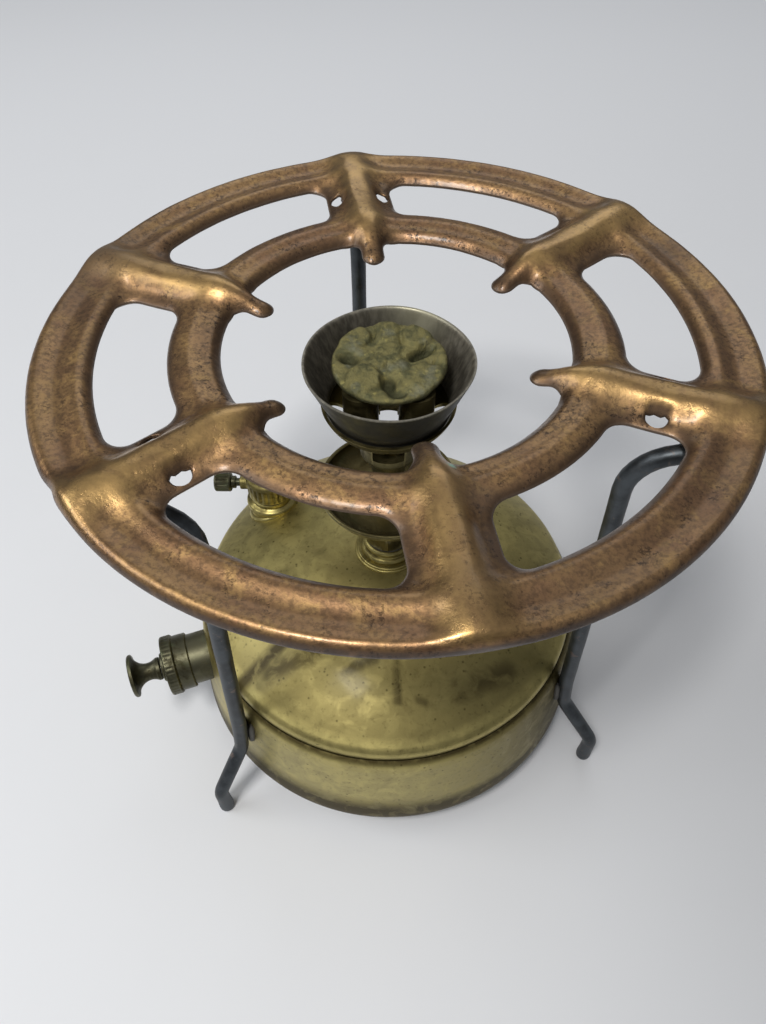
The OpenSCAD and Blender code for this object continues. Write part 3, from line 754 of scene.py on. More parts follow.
def build_sockets():
    """The beaded ring under the burner and the filler's neck, each with its bead of solder."""
    ring = [(6.6, 90.6), (13.0, 90.4), (13.0, 92.4, 0.7), (10.6, 92.5, 0.3)]
    ring = rounded(ring + [(9.9, 91.6)])[:-1] + arc(9.4, 93.2, 1.7, -20.0, 80.0, 8)
    ring += rounded([(9.4, 95.4), (9.4, 96.0)]) + arc(8.7, 97.5, 1.45, -40.0, 90.0, 8) + [(6.6, 98.98), (6.6, 94.0)]
    burner = turned("burner_socket_ring", ring, closed=True)
    finish_piece(burner, "tank", "tank_brass", "socket", "burner_socket")
    place = Matrix.Translation(FILLER)
    neck = [(6.56, 72.0), (10.2, 72.0), (10.2, 79.6, 0.3), (9.9, 79.9)]
    neck = rounded(neck) + arc(9.8, 81.4, 1.7, -60.0, 80.0, 9) + [(9.2, 83.6), (9.2, 85.3)]
    neck = rounded(neck + [(8.9, 85.95), (6.56, 85.95), (6.56, 80.0)])
    filler = turned("filler_neck", neck, closed=True, place=place)
    finish_piece(filler, "tank", "tank_brass", "socket", "filler_socket")
    beads = (("burner_solder_bead", Vector(), 13.0, 0.7), ("filler_solder_bead", FILLER, 10.3, 1.3))
    for name, centre, r, thick in beads:
        path = []
        for k in range(72):
            a = 2 * math.pi * k / 72
            x, y = centre.x + r * math.cos(a), centre.y + r * math.sin(a)
            path.append(Vector((x, y, dome_height(math.hypot(x, y)))))
        bead = swept(name, path, lambda s, t=thick: t, sides=14, closed=True)
        finish_piece(bead, "tank", "tank_brass", "socket")


def leg_line(i):
    """The centre line of leg i, in millimetres."""
    top_r, top_z, head, turn = LEG_TOP[i]
    out, ahead = pointing(LEG_AZ[i]), pointing(head)
    low, high = wall_radius(BEND_Z) + LEG_GAP[i], wall_radius(SHOULDER_Z) + LEG_GAP[i]
    corners = [(LEG_FOOT_R, 0.0), (LEG_FOOT_R, FOOT_TOP_Z), (low, BEND_Z), (high, SHOULDER_Z), (top_r, top_z)]
    points = [out * r + upward(z) for r, z in corners]
    bends = [10.0, 10.0, 60.0, turn]
    top, rise = points[-1], RING_SEAT_Z - top_z
    # A head that starts below the ring's seat rises to it
    if rise > 0.1:
        points.append(top + ahead * 14.0 + upward(0.15 * rise))
        bends.append(12.0)
    points.append(top + ahead * HEAD_REACH + upward(rise))
    return spaced(bent(points, bends), 3.0)


def build_legs():
    """Three bent rods with slightly swollen, rounded feet, and their strips of solder."""
    rod = bpy.context.scene.stove_sizes.rod / MM
    for i, name in enumerate(("leg_right", "leg_left", "leg_back")):
        line = leg_line(i)
        total = sum((b - a).length for a, b in zip(line, line[1:]))

        def thickness(s, total=total, i=i):
            low, high = s * total, (1 - s) * total
            foot = 0.22 * math.exp(-((low - 3.5) ** 2) / 9.0)
            ends = max(0.0, 1 - low / 1.2) ** 2 * 0.55 + max(0.0, 1 - high / 1.4) ** 2 * 0.9
            return rod + foot - ends + 0.03 * math.sin(0.21 * low + i)

        fine = [line[0]] + [line[0].lerp(line[1], t) for t in (0.1, 0.2, 0.3, 0.45, 0.6, 0.8)] + line[1:-1]
        fine += [line[-2].lerp(line[-1], t) for t in (0.3, 0.6, 0.8, 0.9, 1.0)]
        piece = swept(name + "_rod", fine, thickness, sides=28)
        finish_piece(piece, "tank", "leg_steel", "rod", name)
        out = pointing(LEG_AZ[i])
        side = Vector((-out.y, out.x, 0.0))
        for way in (-1, 1):
            heights = [41.5 + 13.0 * k / 8 for k in range(9)]
            path = [out * (wall_radius(z) + 0.55) + side * way * 2.1 + upward(z) for z in heights]
            seam = swept("%s_solder_%s" % (name, "ab"[way > 0]), path, solder_bead, sides=14)
            nodes = ("leg_solder",) if i == 0 and way < 0 else ()
            finish_piece(seam, "tank", "solder", "solder", *nodes)


def solder_bead(s):
    """The radius of a seam of solder along its length."""
    return 0.5 + 1.1 * math.sqrt(max(0.0, 1 - (2 * s - 1) ** 4)) + 0.12 * math.sin(23 * s)


# ---------------------------------------------------------------- burner


def hexed(flats, low, high):
    """A lathe shape that cuts six flats between two heights."""

    def shape(r, z, a):
        if not low - 0.01 <= z <= high + 0.01:
            return r, z
        side = (a + math.pi / 6) % (math.pi / 3) - math.pi / 6
        return min(r, flats / 2 / math.cos(side)), z

    return shape


def build_burner():
    """The burner's stem with its hexagon and windows, the spirit cup and the round bowl."""
    tall = [(0.0, 88.0), (6.1, 88.0), (6.5, 88.6), (6.5, 99.9), (9.0, 99.9), (9.9, 100.7), (9.9, 106.3), (9.0, 107.0)]
    tall += [(5.6, 107.0)] + arc(6.2, 108.0, 0.8, -120.0, -180.0, 4) + [(5.4, 118.6)]
    tall += [(6.0, 119.4), (6.0, 121.8), (8.7, 122.0), (9.0, 122.3), (9.0, 123.9), (6.0, 123.95), (6.0, 139.0)]
    tall += [(6.2, 141.0), (7.0, 144.6), (8.0, 147.4), (8.9, 149.5)]
    tall += arc(8.7, 151.2, 1.6, -90.0, 0.0, 6) + [(10.3, 157.0), (10.3, 162.6), (10.0, 163.45)]
    tall += [(7.6, 163.45), (7.6, 158.0), (7.6, 152.05), (0.0, 152.05)]
    stem = turned("burner_stem_tube", divided(tall, 4.0), shape=hexed(17.0, 100.0, 107.0), segments=144)
    cut(stem, block((-5.5, -20.0, 153.6), (5.5, 20.0, 162.2)))
    cut(stem, turned("jet_bore", [(0.0, 139.0), (2.02, 139.0), (2.02, 156.0), (0.0, 156.0)], segments=48))
    softened(stem, 0.2, 40.0)
    finish_piece(stem, "burner", "burner_brass", "burner", "burner_stem")
    outside = [(6.05, 124.03)] + arc(17.7, 132.4, 8.4, -90.0, -8.0, 12) + arc(25.8, 131.6, 0.85, -30.0, 150.0, 8)
    inside = arc(17.7, 132.4, 7.6, -8.0, -90.0, 12) + [(6.05, 124.83)]

    def trembling(r, z, a):
        share = max(0.0, (r - 12.0) / 14.6)
        return r - 0.12 * share * (1 + math.sin(3 * a + 0.7)), z - 0.1 * share * (1 + math.sin(2 * a))

    cup = turned("spirit_cup_dish", outside + inside, closed=True, shape=trembling)
    finish_piece(cup, "burner", "burner_brass", "burner", "spirit_cup")
    dress("burner", "burner_bowl", "burner_pillars")
    dress("socket", "nipple")
    dress("solder", "burner_washer")


# The crown's flat lobes and petals: centre, half sizes, turn in degrees, height and width of the edge
CROWN_LOBES = (
    (-11.6, 10.6, 5.6, 5.2, 0, 1.35, 0.14),
    (8.9, 11.8, 5.1, 5.0, 0, 1.35, 0.14),
    (-8.0, -8.8, 5.6, 6.2, 0, 1.5, 0.2),
    (11.6, -7.4, 6.6, 6.2, 0, 1.1, 0.2),
    (-1.0, 13.6, 4.0, 6.4, 0, 1.1, 0.3),
    (17.2, 3.6, 1.9, 5.0, 10, 0.9, 0.5),
    (-3.4, -1.0, 2.6, 6.6, -38, 0.95, 0.5),
    (2.4, -1.6, 2.6, 6.0, 32, 0.95, 0.5),
    (0.0, 5.0, 3.4, 4.2, 0, 0.9, 0.5),
)
# Its worn hollows: centre, half sizes, turn in degrees and depth
CROWN_HOLLOWS = (
    (-13.0, 1.3, 5.0, 3.6, -12, 3.0),
    (10.2, 3.6, 2.9, 6.6, -52, 3.6),
    (-0.2, -10.4, 3.4, 4.8, 8, 3.2),
    (2.6, -14.6, 4.4, 3.0, 0, 2.0),
    (-5.4, 11.6, 1.2, 4.0, 0, 0.9),
    (4.0, 9.8, 1.0, 3.6, 0, 0.8),
    (14.2, -1.2, 3.4, 2.0, 20, 1.2),
)
CROWN_R, CROWN_BASE_Z, CROWN_TOP_Z = 18.7, 190.4, 192.55
# The crown sits a little off the burner's axis
CROWN_AT = Vector((0.1, 1.1, 0.0))


def build_head():
    """The cast crown of the burner: four round lobes, a raised petal at the back and worn hollows between them."""
    def local(x, y, form):
        c, n = math.cos(math.radians(form[4])), math.sin(math.radians(form[4]))
        dx, dy = x - form[0], y - form[1]
        return math.hypot((dx * c + dy * n) / form[2], (dy * c - dx * n) / form[3])

    def top(x, y):
        z = CROWN_BASE_Z
        for form in CROWN_LOBES:
            d = max(0.0, min(1.0, (local(x, y, form) - 1 + form[6]) / (2 * form[6])))
            z = max(z, CROWN_BASE_Z + form[5] * (1 - d * d * (3 - 2 * d)))
        for form in CROWN_HOLLOWS:
            d = local(x, y, form)
            if d < 1:
                z -= form[5] * (0.5 + 0.5 * math.cos(math.pi * d)) ** 0.7
        p = (x, y, 0.0)
        rough = 1.0 if y < 5.0 else 0.4
        z += rough * (0.26 * wobble(p, 2.6, 1.3) + 0.18 * wobble(p, 1.2, 4.1)) + 0.03 * y
        return max(z, 187.6)

    segments, verts, rise = 180, [upward(top(0.0, 0.0))], [0.6]
    rows = [[0] * segments]
    radii = [0.45 * k for k in range(1, 39)] + [17.5, 17.9, 18.2, 18.45, 18.6, CROWN_R]
    for r in radii:
        row = []
        drop = 0.0 if r < 17.3 else 1.4 - math.sqrt(max(0.0, 1.4**2 - (r - 17.3) ** 2))
        for k in range(segments):
            a = 2 * math.pi * k / segments
            x, y = r * math.cos(a), r * math.sin(a)
            z = min(CROWN_TOP_Z, top(x, y) - drop)
            row.append(len(verts))
            verts.append(Vector((x, y, z)))
            # The rise value paints shade: lower points and the rounded side (drop) come out darker in the finish.
            rise.append(max(0.0, min(1.0, (z - 0.8 * drop - 188.2 - 0.03 * y) / 3.2)))
        rows.append(row)
    for r, z in ((18.4, 188.9), (17.6, 188.4), (16.4, 187.7), (15.2, 187.02)):
        row = []
        for k in range(segments):
            a = 2 * math.pi * k / segments
            low = min(z, verts[rows[-1][k]].z - 0.2)
            row.append(len(verts))
            verts.append(Vector((r * math.cos(a), r * math.sin(a), low)))
            rise.append(0.1)
        rows.append(row)
    rows.append([len(verts)] * segments)
    verts.append(upward(187.02))
    rise.append(0.0)
    head = new_mesh("burner_crown", [v + CROWN_AT for v in verts], joined(rows), 60.0)
    store(head, "rise", rise)
    finish_piece(head, "burner", "head_brass", "head", "burner_head")


def build_flame_ring():
    """The loose cone round the crown, a little out of round, with its heat marks."""
    outer = [(21.1, 173.06), (21.15, 174.6), (21.5, 176.4)]
    outer += [(21.5 + 6.35 * t**0.92, 176.4 + 14.6 * t) for t in np.linspace(0.08, 1.0, 16)]
    rim = [(28.05, 191.5), (27.95, 191.75), (27.5, 191.78), (27.2, 191.6)]
    inner = [(q - 1.0, z + 0.1) for q, z in reversed(outer[1:])] + [(20.1, 173.06)]

    def uneven(r, z, a):
        share = max(0.0, (z - 178.0) / 14.0)
        out = 0.12 * share * (math.sin(2 * a + 0.4) + math.sin(5 * a + 1.0)) - 0.2 * share
        return r + out, z - 0.12 * share * (1 + math.sin(3 * a))

    ring = turned("flame_ring_cone", outer + rim + inner, closed=True, shape=uneven, segments=180)
    # Marks near the rim, each round an angle and over a width in degrees
    for mark, middle, width in (("heat", 150.0, 26.0), ("pale", 68.0, 24.0)):
        shares = []
        for v in ring.data.vertices:
            off = (math.degrees(math.atan2(v.co.y, v.co.x)) - middle + 180.0) % 360.0 - 180.0
            shares.append(max(0.0, min(1.0, (v.co.z / MM - 180.0) / 6.0)) * math.exp(-((off / width) ** 2)))
        store(ring, mark, shares)
    # Marks the outside of the cone, where the finish paints shade.
    on_outside = 180 * len(outer)
    store(ring, "outside", [1.0] * on_outside + [0.0] * (len(shares) - on_outside))
    finish_piece(ring, "flame_ring", "flame_steel", "flame", "flame_ring")


# ---------------------------------------------------------------- filler and pump


def fluted(count, depth, low, high, least):
    """A lathe shape with rounded flutes between two heights, outside a radius."""

    def shape(r, z, a):
        if r < least or not low <= z <= high:
            return r, z
        fade = min(1.0, (z - low) / 0.5, (high - z) / 0.5)
        return r - depth * fade * (0.5 + 0.5 * math.cos(count * a)) ** 2, z

    return shape


def build_filler():
    """The fluted filler cap with its side boss, and the fluted air screw in it."""
    place = Matrix.Translation(FILLER)
    body = [(0.0, 79.0), (6.3, 79.0), (6.3, 87.52), (9.7, 87.52), (10.3, 88.1), (10.3, 88.9)]
    body += [(10.3, z) for z in np.linspace(89.4, 96.0, 10)] + arc(8.2, 96.4, 2.1, 0.0, 78.0, 7)
    body += [(7.6, 98.5), (7.1, 98.7)] + arc(5.7, 99.1, 1.3, 0.0, 80.0, 6) + [(5.4, 100.45), (0.0, 100.5)]
    cap = turned("filler_cap_body", body, place=place, segments=192, shape=fluted(24, 0.45, 88.7, 96.4, 9.9))
    finish_piece(cap, "filler_cap", "cap_brass", "cap", "filler_cap")
    boss = [(0.0, 8.6), (3.6, 8.6), (3.2, 10.4, 0.5), (3.2, 12.99, 0.3), (1.85, 12.99), (1.85, 9.5), (0.0, 9.5)]
    side = turned("filler_cap_boss", rounded(boss), place=VENT_FRAME, segments=64)
    finish_piece(side, "filler_cap", "cap_brass", "cap")
    screw = [(0.0, 9.6), (1.8, 9.6), (1.8, 15.0), (2.7, 15.1), (2.8, 15.3), (2.8, 16.7), (3.3, 17.05)]
    screw += [(4.0, 17.15), (4.3, 17.7)] + [(4.3, z) for z in np.linspace(18.1, 23.2, 9)]
    screw += arc(3.4, 23.5, 0.9, 0.0, 90.0, 5) + [(0.0, 24.4)]
    vent = turned("vent_screw_body", screw, place=VENT_FRAME, segments=144, shape=fluted(12, 0.35, 18.0, 23.6, 3.9))
    finish_piece(vent, "vent_screw", "pump_brass", "pump", "vent_screw")
    dress("rubber", "filler_gasket")


def build_pump():
    """The milled pump cap and the spool-shaped knob, and finishes for the pieces inside the tube."""
    shell = [(11.06, 91.52), (11.7, 91.5), (12.1, 91.9), (12.1, 97.3), (12.6, 97.6), (13.0, 98.1), (13.0, 98.7)]
    shell += [(13.0, z) for z in np.linspace(99.1, 101.3, 5)] + arc(12.2, 101.6, 0.8, 0.0, 90.0, 5)
    shell += [(8.0, 102.4), (6.9, 102.55), (6.5, 102.9), (6.4, 103.6), (6.0, 104.1), (2.58, 104.1), (2.58, 97.22)]
    shell += [(11.06, 97.22)]
    cap = turned("pump_cap_body", shell, True, PUMP_FRAME, 280, fluted(40, 0.14, 98.3, 101.9, 12.6))
    finish_piece(cap, "pump_cap", "pump_brass", "pump", "pump_cap")
    knob = [(2.53, 104.62), (4.6, 104.62), (5.0, 105.0), (5.0, 106.2)] + arc(9.8, 109.8, 6.0, 217.0, 97.0, 22)
    knob += [(9.3, 115.95), (9.3, 116.3)] + arc(8.3, 116.5, 1.0, 0.0, 90.0, 6)
    knob += [(5.0, 117.35), (3.0, 117.1), (0.0, 117.0), (0.0, 113.2), (2.53, 113.2)]
    spool = turned("pump_knob_spool", knob, True, PUMP_FRAME, 128)
    finish_piece(spool, "pump_rod", "pump_brass", "pump", "pump_knob")
    dress("pump", "pump_barrel", "valve_body")
    dress("leather", "pump_washer", "piston_cup")
    dress("bright", "pump_rod")
    dress("socket", "piston_nut", "piston_plate", "piston_spreader")


# ---------------------------------------------------------------- pot ring

# The loose ring lies a little to one side of the tank's axis; its plan below is about its own centre
RING_OFF = 2.2
RING_R, OUTER_R, INNER_R, EYE_R, FINGER_R = 110.0, 91.3, 69.8, 54.0, 41.0
SPOKE_HALF = 12.0
# The flat sheet ends at the skirt, where the rim rolls over and drops as a low wall
SKIRT_R, RIM_ROLL, LIP_LOW = 106.8, 3.2, 198.3
# Stands for the distance to the nearest lip where there is none
NO_LIP = 9.0
# The ear holes: radius, distance to each side of the spoke, and distance along it
EAR_R, EAR_OFF, EAR_AT = 3.1, 7.4, 80.2
LEG_SPOKES = (0, 2, 4)
# Height of the sheet from the eye to the rim, away from the spokes, as (distance from the centre, height)
BAND = (
    (41.0, 198.2), (45.6, 198.8), (50.0, 199.2), (54.0, 199.6), (55.6, 201.0), (57.4, 202.0),
    (59.4, 201.8), (61.0, 202.3), (62.8, 202.9), (64.6, 202.5), (67.0, 201.9), (69.8, 201.2),
    (75.0, 200.8), (86.0, 200.7), (91.3, 200.9), (93.2, 202.2), (95.2, 203.1), (97.2, 202.8),
    (99.2, 202.1), (101.2, 201.8), (103.2, 202.1), (105.0, 202.8), (106.4, 203.3), (108.0, 203.3),
    (110.0, 203.3),
)
# Height of the ridge along a spoke
RIDGE = (
    (41.0, 198.2), (42.6, 199.5), (44.6, 200.3), (47.2, 201.0), (49.6, 202.1), (52.0, 203.6),
    (55.0, 205.0), (58.5, 206.1), (62.5, 206.6), (67.0, 206.4), (72.0, 206.1), (79.0, 205.9),
    (86.0, 206.0), (92.0, 206.4), (97.5, 206.7), (102.0, 206.7), (105.5, 206.3), (108.0, 205.6),
    (110.0, 204.9),
)
# Half width of the ridge along a spoke
RIDGE_WIDTH = (
    (41.0, 4.6), (47.0, 4.6), (52.0, 4.4), (57.0, 5.2), (63.0, 6.8), (70.0, 6.8), (79.0, 6.6),
    (88.0, 7.0), (97.0, 8.0), (104.0, 8.4), (110.0, 8.6),
)


def smooth_line(points, width):
    """A table of a line through the given points, with its corners eased."""
    xs, ys = zip(*points)
    grid = np.arange(min(xs) - 4, max(xs) + 4, 0.1)
    line = np.interp(grid, xs, ys)
    reach = np.arange(-3 * width, 3 * width + 0.05, 0.1)
    weight = np.exp(-((reach / width) ** 2) / 2)
    pad = len(reach) // 2
    eased = np.convolve(np.pad(line, pad, mode="edge"), weight / weight.sum(), mode="valid")
    return grid, eased[: len(grid)]


def spoke_frame(x, y):
    """Distance along and across the nearest spoke, and that spoke's number."""
    a = np.degrees(np.arctan2(y, x)) - SPOKE_AZ
    k = np.round(a / 60.0)
    c, s = np.cos(np.radians(SPOKE_AZ + 60 * k)), np.sin(np.radians(SPOKE_AZ + 60 * k))
    return x * c + y * s, y * c - x * s, np.mod(k, 6).astype(int)


def along(pts, gap=0.9):
    """A closed plan outline with extra points on its long stretches, which follow the ring where they are arcs."""
    out = []
    for a, b in zip(pts, pts[1:] + pts[:1]):
        if (b - a).length < 0.02:
            continue
        out.append(a)
        count = math.ceil((b - a).length / gap)
        ra, rb = a.length, b.length
        for n in range(1, count):
            p = a.lerp(b, n / count)
            if abs(ra - rb) < 0.3:
                p = p.normalized() * (ra + (rb - ra) * n / count)
            out.append(p)
    return out


def window_loop(k):
    """The outline of the window that follows spoke k, with its four rounded corners."""
    ends = []
    for band, f, way in ((INNER_R, 7.0, -1), (OUTER_R, 5.5, 1)):
        rc = band - way * f
        y = SPOKE_HALF + f
        c = Vector((math.sqrt(rc * rc - y * y), y))
        a0, a1 = math.atan2(way * c.y, way * c.x), math.atan2(-1.0, 0.0)
        turn = (a1 - a0 + math.pi) % (2 * math.pi) - math.pi
        ends.append([c + Vector((math.cos(a0 + turn * n / 12), math.sin(a0 + turn * n / 12))) * f for n in range(13)])
    near = ends[0] + ends[1][::-1]
    far = [spun((p.x, -p.y), 60) for p in reversed(near)]
    return [spun(p, SPOKE_AZ + 60 * k) for p in along(near + far)]


def eye_loop():
    """The outline of the eye, with six round-ended fingers that reach into it."""
    upper = [Vector((46.4 - 3.9 * math.cos(a), 3.9 * math.sin(a))) for a in np.linspace(0, math.pi / 2, 9)]
    upper += [Vector((47.2, 3.9)), Vector((47.9, 3.9))]
    for t in np.linspace(0.08, 1.0, 14):
        p = Vector((48.4 + 7.2 * t, 3.9 + 6.6 * t**2.4))
        if p.length > EYE_R - 0.4:
            break
        upper.append(p)
    last = upper[-1]
    start = math.degrees(math.atan2(last.y, last.x))
    arc_points = []
    count = math.ceil(math.radians(60 - 2 * start) * EYE_R / 0.95)
    for n in range(1, count):
        share = n / count
        ease = min(1.0, share * count / 4, (1 - share) * count / 4)
        arc_points.append(spun((last.length + (EYE_R - last.length) * ease, 0.0), start + (60 - 2 * start) * share))
    one = [Vector((p.x, -p.y)) for p in reversed(upper[1:])] + upper + arc_points
    return [spun(p, SPOKE_AZ + 60 * k) for k in range(6) for p in one]


def ear_loops():
    """The outlines of the two ear holes in each of the three leg spokes, whose inner halves are pressed down."""
    half = [(EAR_R * math.sin(t), EAR_R * math.cos(t)) for t in np.linspace(-1.5, 1.5, 17)]
    half += [(x, 0.25 * math.sin(2.7 * x) - 0.6) for x in (2.0, 1.0, 0.0, -1.0, -2.0)]
    return [
        [spun((EAR_AT + x, side * (EAR_OFF + y)), SPOKE_AZ + 60 * k) for x, y in half]
        for k in LEG_SPOKES
        for side in (-1, 1)
    ]


def ear_flap(x, y, wide, soft, fade):
    """How much each point lies on the inner half of an ear hole, a flap of sheet that is pressed down."""
    s, t, k = spoke_frame(x, y)
    past = np.abs(t) - EAR_OFF
    near = unit((1 - np.hypot(s - EAR_AT, past) / (EAR_R + wide)) / soft)
    return near * (k % 2 == 0) * unit((past + EAR_R) / fade)


def inside(px, py, loop):
    """Which points lie inside a loop."""
    x, y = np.array([p[0] for p in loop]), np.array([p[1] for p in loop])
    x2, y2 = np.roll(x, -1), np.roll(y, -1)
    odd = np.zeros(len(px), bool)
    for a, b, c, d in zip(x, y, x2, y2):
        if b == d:
            continue
        hit = ((b > py) != (d > py)) & (px < (c - a) * (py - b) / (d - b) + a)
        odd ^= hit
    return odd


def distance(px, py, loops):
    """Distance from each point to the nearest of the loops."""
    best = np.full(len(px), 1e9)
    for loop in loops:
        a = np.array([tuple(p) for p in loop])
        b = np.roll(a, -1, axis=0)
        for (ax, ay), (bx, by) in zip(a, b):
            dx, dy = bx - ax, by - ay
            t = np.clip(((px - ax) * dx + (py - ay) * dy) / (dx * dx + dy * dy + 1e-12), 0, 1)
            np.minimum(best, (px - ax - t * dx) ** 2 + (py - ay - t * dy) ** 2, out=best)
    return np.sqrt(best)


def ring_height(x, y, lip):
    """Height of the ring's upper face, and how far it has risen towards a crest (0 to 1)."""
    r = np.hypot(x, y)
    s, t, _ = spoke_frame(x, y)
    band = np.interp(r, *smooth_line(BAND, 0.9))
    ridge = np.interp(s, *smooth_line(RIDGE, 1.4))
    width = np.interp(s, *smooth_line(RIDGE_WIDTH, 2.0))
    steep = 2.3 + 1.5 * bell(s - EAR_AT, 9.0)
    hill = np.exp(-np.abs(t / width) ** steep)
    z = band + np.maximum(ridge - band, 0) * hill
    z = z - 1.7 * ear_flap(x, y, 0.3, 0.3, EAR_R)
    waves = np.array([wobble((a, b, 0.0), 19.0, 2.2) + 0.45 * wobble((a, b, 0.0), 6.5, 5.5) for a, b in zip(x, y)])
    z = z + 0.13 * waves
    z = z - 1.25 * unit(1 - lip / 2.8) ** 1.8
    out = unit((r - SKIRT_R) / (RING_R - SKIRT_R))
    z = z - RIM_ROLL * (1 - np.sqrt(unit(1 - out**2)))
    return z, unit((z - 200.2) / 5.6)


def flat_points(x, y):
    """Plan points from their two coordinates."""
    return [Vector((float(a), float(b))) for a, b in zip(x, y)]


def grid_points(loops, holes, gap):
    """Plan points on a triangular grid, clear of every outline."""
    reach = np.arange(-SKIRT_R, SKIRT_R, gap)
    x, y = np.meshgrid(reach, np.arange(-SKIRT_R, SKIRT_R, gap * 0.866))
    x = x + (np.arange(x.shape[0]) % 2)[:, None] * gap / 2
    x, y = x.ravel(), y.ravel()
    r = np.hypot(x, y)
    keep = (r < SKIRT_R - 0.5) & (r > FINGER_R)
    for loop in holes:
        keep &= ~inside(x, y, loop)
    x, y = x[keep], y[keep]
    keep = distance(x, y, loops) > 1.5
    return flat_points(x[keep], y[keep])


def lip_points(loops, holes):
    """Two rows of plan points beside each hole, so that the turned-down lips are even."""
    points = []
    for loop in holes:
        a = np.array([tuple(p) for p in loop])
        after, before = np.roll(a, -1, 0), np.roll(a, 1, 0)
        tangent = after - before
        tangent /= np.linalg.norm(tangent, axis=1)[:, None]
        normal = np.stack([tangent[:, 1], -tangent[:, 0]], 1)
        area = np.sum(a[:, 0] * after[:, 1] - after[:, 0] * a[:, 1])
        normal *= 1 if area > 0 else -1
        for off in (0.45, 1.0):
            moved = a + normal * off
            clear = distance(moved[:, 0], moved[:, 1], loops) > off * 0.8
            points += flat_points(*moved[clear].T)
    return points


def ring_plan(holes, gap):
    """The ring's plan as triangles: its points, and the three points of each triangle."""
    angles = [2 * math.pi * i / 432 for i in range(432)]
    loops = [[Vector((SKIRT_R * math.cos(a), SKIRT_R * math.sin(a))) for a in angles]] + holes
    edges, fixed = [], []
    for loop in loops:
        start = len(fixed)
        fixed += loop
        edges += [(start + i, start + (i + 1) % len(loop)) for i in range(len(loop))]
    points = grid_points(loops, holes, gap) + lip_points(loops, holes)
    made = geometry.delaunay_2d_cdt(fixed + points, edges, [], 0, 1e-5)
    flat = np.array([tuple(v) for v in made[0]])
    tris = np.array([tuple(f) for f in made[2] if len(f) == 3])
    mid = flat[tris].mean(1)
    keep = np.hypot(mid[:, 0], mid[:, 1]) < SKIRT_R
    for loop in holes:
        keep &= ~inside(mid[:, 0], mid[:, 1], loop)
    tris = tris[keep]
    used = np.unique(tris)
    index = np.full(len(flat), -1)
    index[used] = np.arange(len(used))
    return flat[used], index[tris]


def roll_rim(flat, verts, faces, lips, rises):
    """Adds the rounded rim and its low wall, on the same points as the sheet's edge."""
    on_rim = np.where(np.abs(np.hypot(flat[:, 0], flat[:, 1]) - SKIRT_R) < 1e-3)[0]
    order = on_rim[np.argsort(np.arctan2(flat[on_rim, 1], flat[on_rim, 0]))]
    last = [int(i) for i in order]
    angles = np.arctan2(flat[order, 1], flat[order, 0])
    # A small kink at the left and a slightly flat near side
    kink = 0.008 * bell(np.degrees(angles) + 145.0, 2.2) + 0.005 * unit(-np.sin(angles)) ** 2
    # Each row's distance from the centre, and how far down the wall it lies
    rows = [(SKIRT_R + RIM_ROLL * math.sin(math.radians(a)), 0.0) for a in (12, 24, 36, 48, 60, 72, 82, 90)]
    for radius, low in rows + [(RING_R, 0.35), (RING_R, 0.7), (RING_R, 1.0)]:
        x, y = radius * np.cos(angles), radius * np.sin(angles)
        if low == 0.0:
            edge_z, rise = ring_height(x, y, np.full(len(x), NO_LIP))
            z = edge_z
        else:
            z, rise = edge_z + (LIP_LOW - edge_z) * low, np.full(len(x), 0.12)
        # The wall leans in towards its foot
        narrow = 1 - kink * (radius - SKIRT_R) / RIM_ROLL - 0.007 * low**2
        row = list(range(len(verts), len(verts) + len(x)))
        verts += [Vector((float(a * d), float(b * d), float(c))) for a, b, c, d in zip(x, y, z, narrow)]
        lips += [0.3 if low == 1.0 else NO_LIP] * len(x)
        rises += list(rise)
        faces += [(last[i], row[i], row[(i + 1) % len(row)], last[(i + 1) % len(row)]) for i in range(len(row))]
        last = row


def build_pot_ring():
    """The pressed pot ring: a smooth sheet with two bands, six humped spokes, drooping fingers and a rolled rim."""
    sizes = bpy.context.scene.stove_sizes
    windows = [window_loop(k) for k in range(6)]
    eye, ears = eye_loop(), ear_loops()
    flat, tris = ring_plan(windows + [eye] + ears, sizes.grain / MM)
    lip = distance(flat[:, 0], flat[:, 1], windows + [eye])
    lip = np.minimum(lip, distance(flat[:, 0], flat[:, 1], ears) + 1.2)
    z, rise = ring_height(flat[:, 0], flat[:, 1], lip)
    verts = [Vector((float(a), float(b), float(c))) for (a, b), c in zip(flat, z)]
    faces = [tuple(int(i) for i in t) for t in tris]
    lips, rises = list(lip), list(rise)
    roll_rim(flat, verts, faces, lips, rises)
    ring = new_mesh("pot_ring_sheet", verts, faces, 70.0)
    if ring.data.polygons[0].normal.z < 0:
        ring.data.flip_normals()
    store(ring, "lip", lips)
    store(ring, "rise", rises)
    x, y, z = np.array([tuple(v) for v in verts]).T
    # Scorch marks and painted shade, as the finish reads them.
    store(ring, "burn_and_shade", burnt_and_shaded(x, y, z))
    store(ring, "verdigris", np.exp(-(((x - 14.3) ** 2 + (y + 55.5) ** 2) / 1.3) ** 2))
    ring.data.transform(Matrix.Translation((RING_OFF * MM, 0.0, 0.0)))
    sheet = ring.modifiers.new("sheet", "SOLIDIFY")
    sheet.thickness, sheet.offset, sheet.use_even_offset = sizes.sheet, -1.0, False
    sheet.use_quality_normals = True
    finish_piece(ring, "pot_ring", "ring_steel", "ring", "pot_ring")


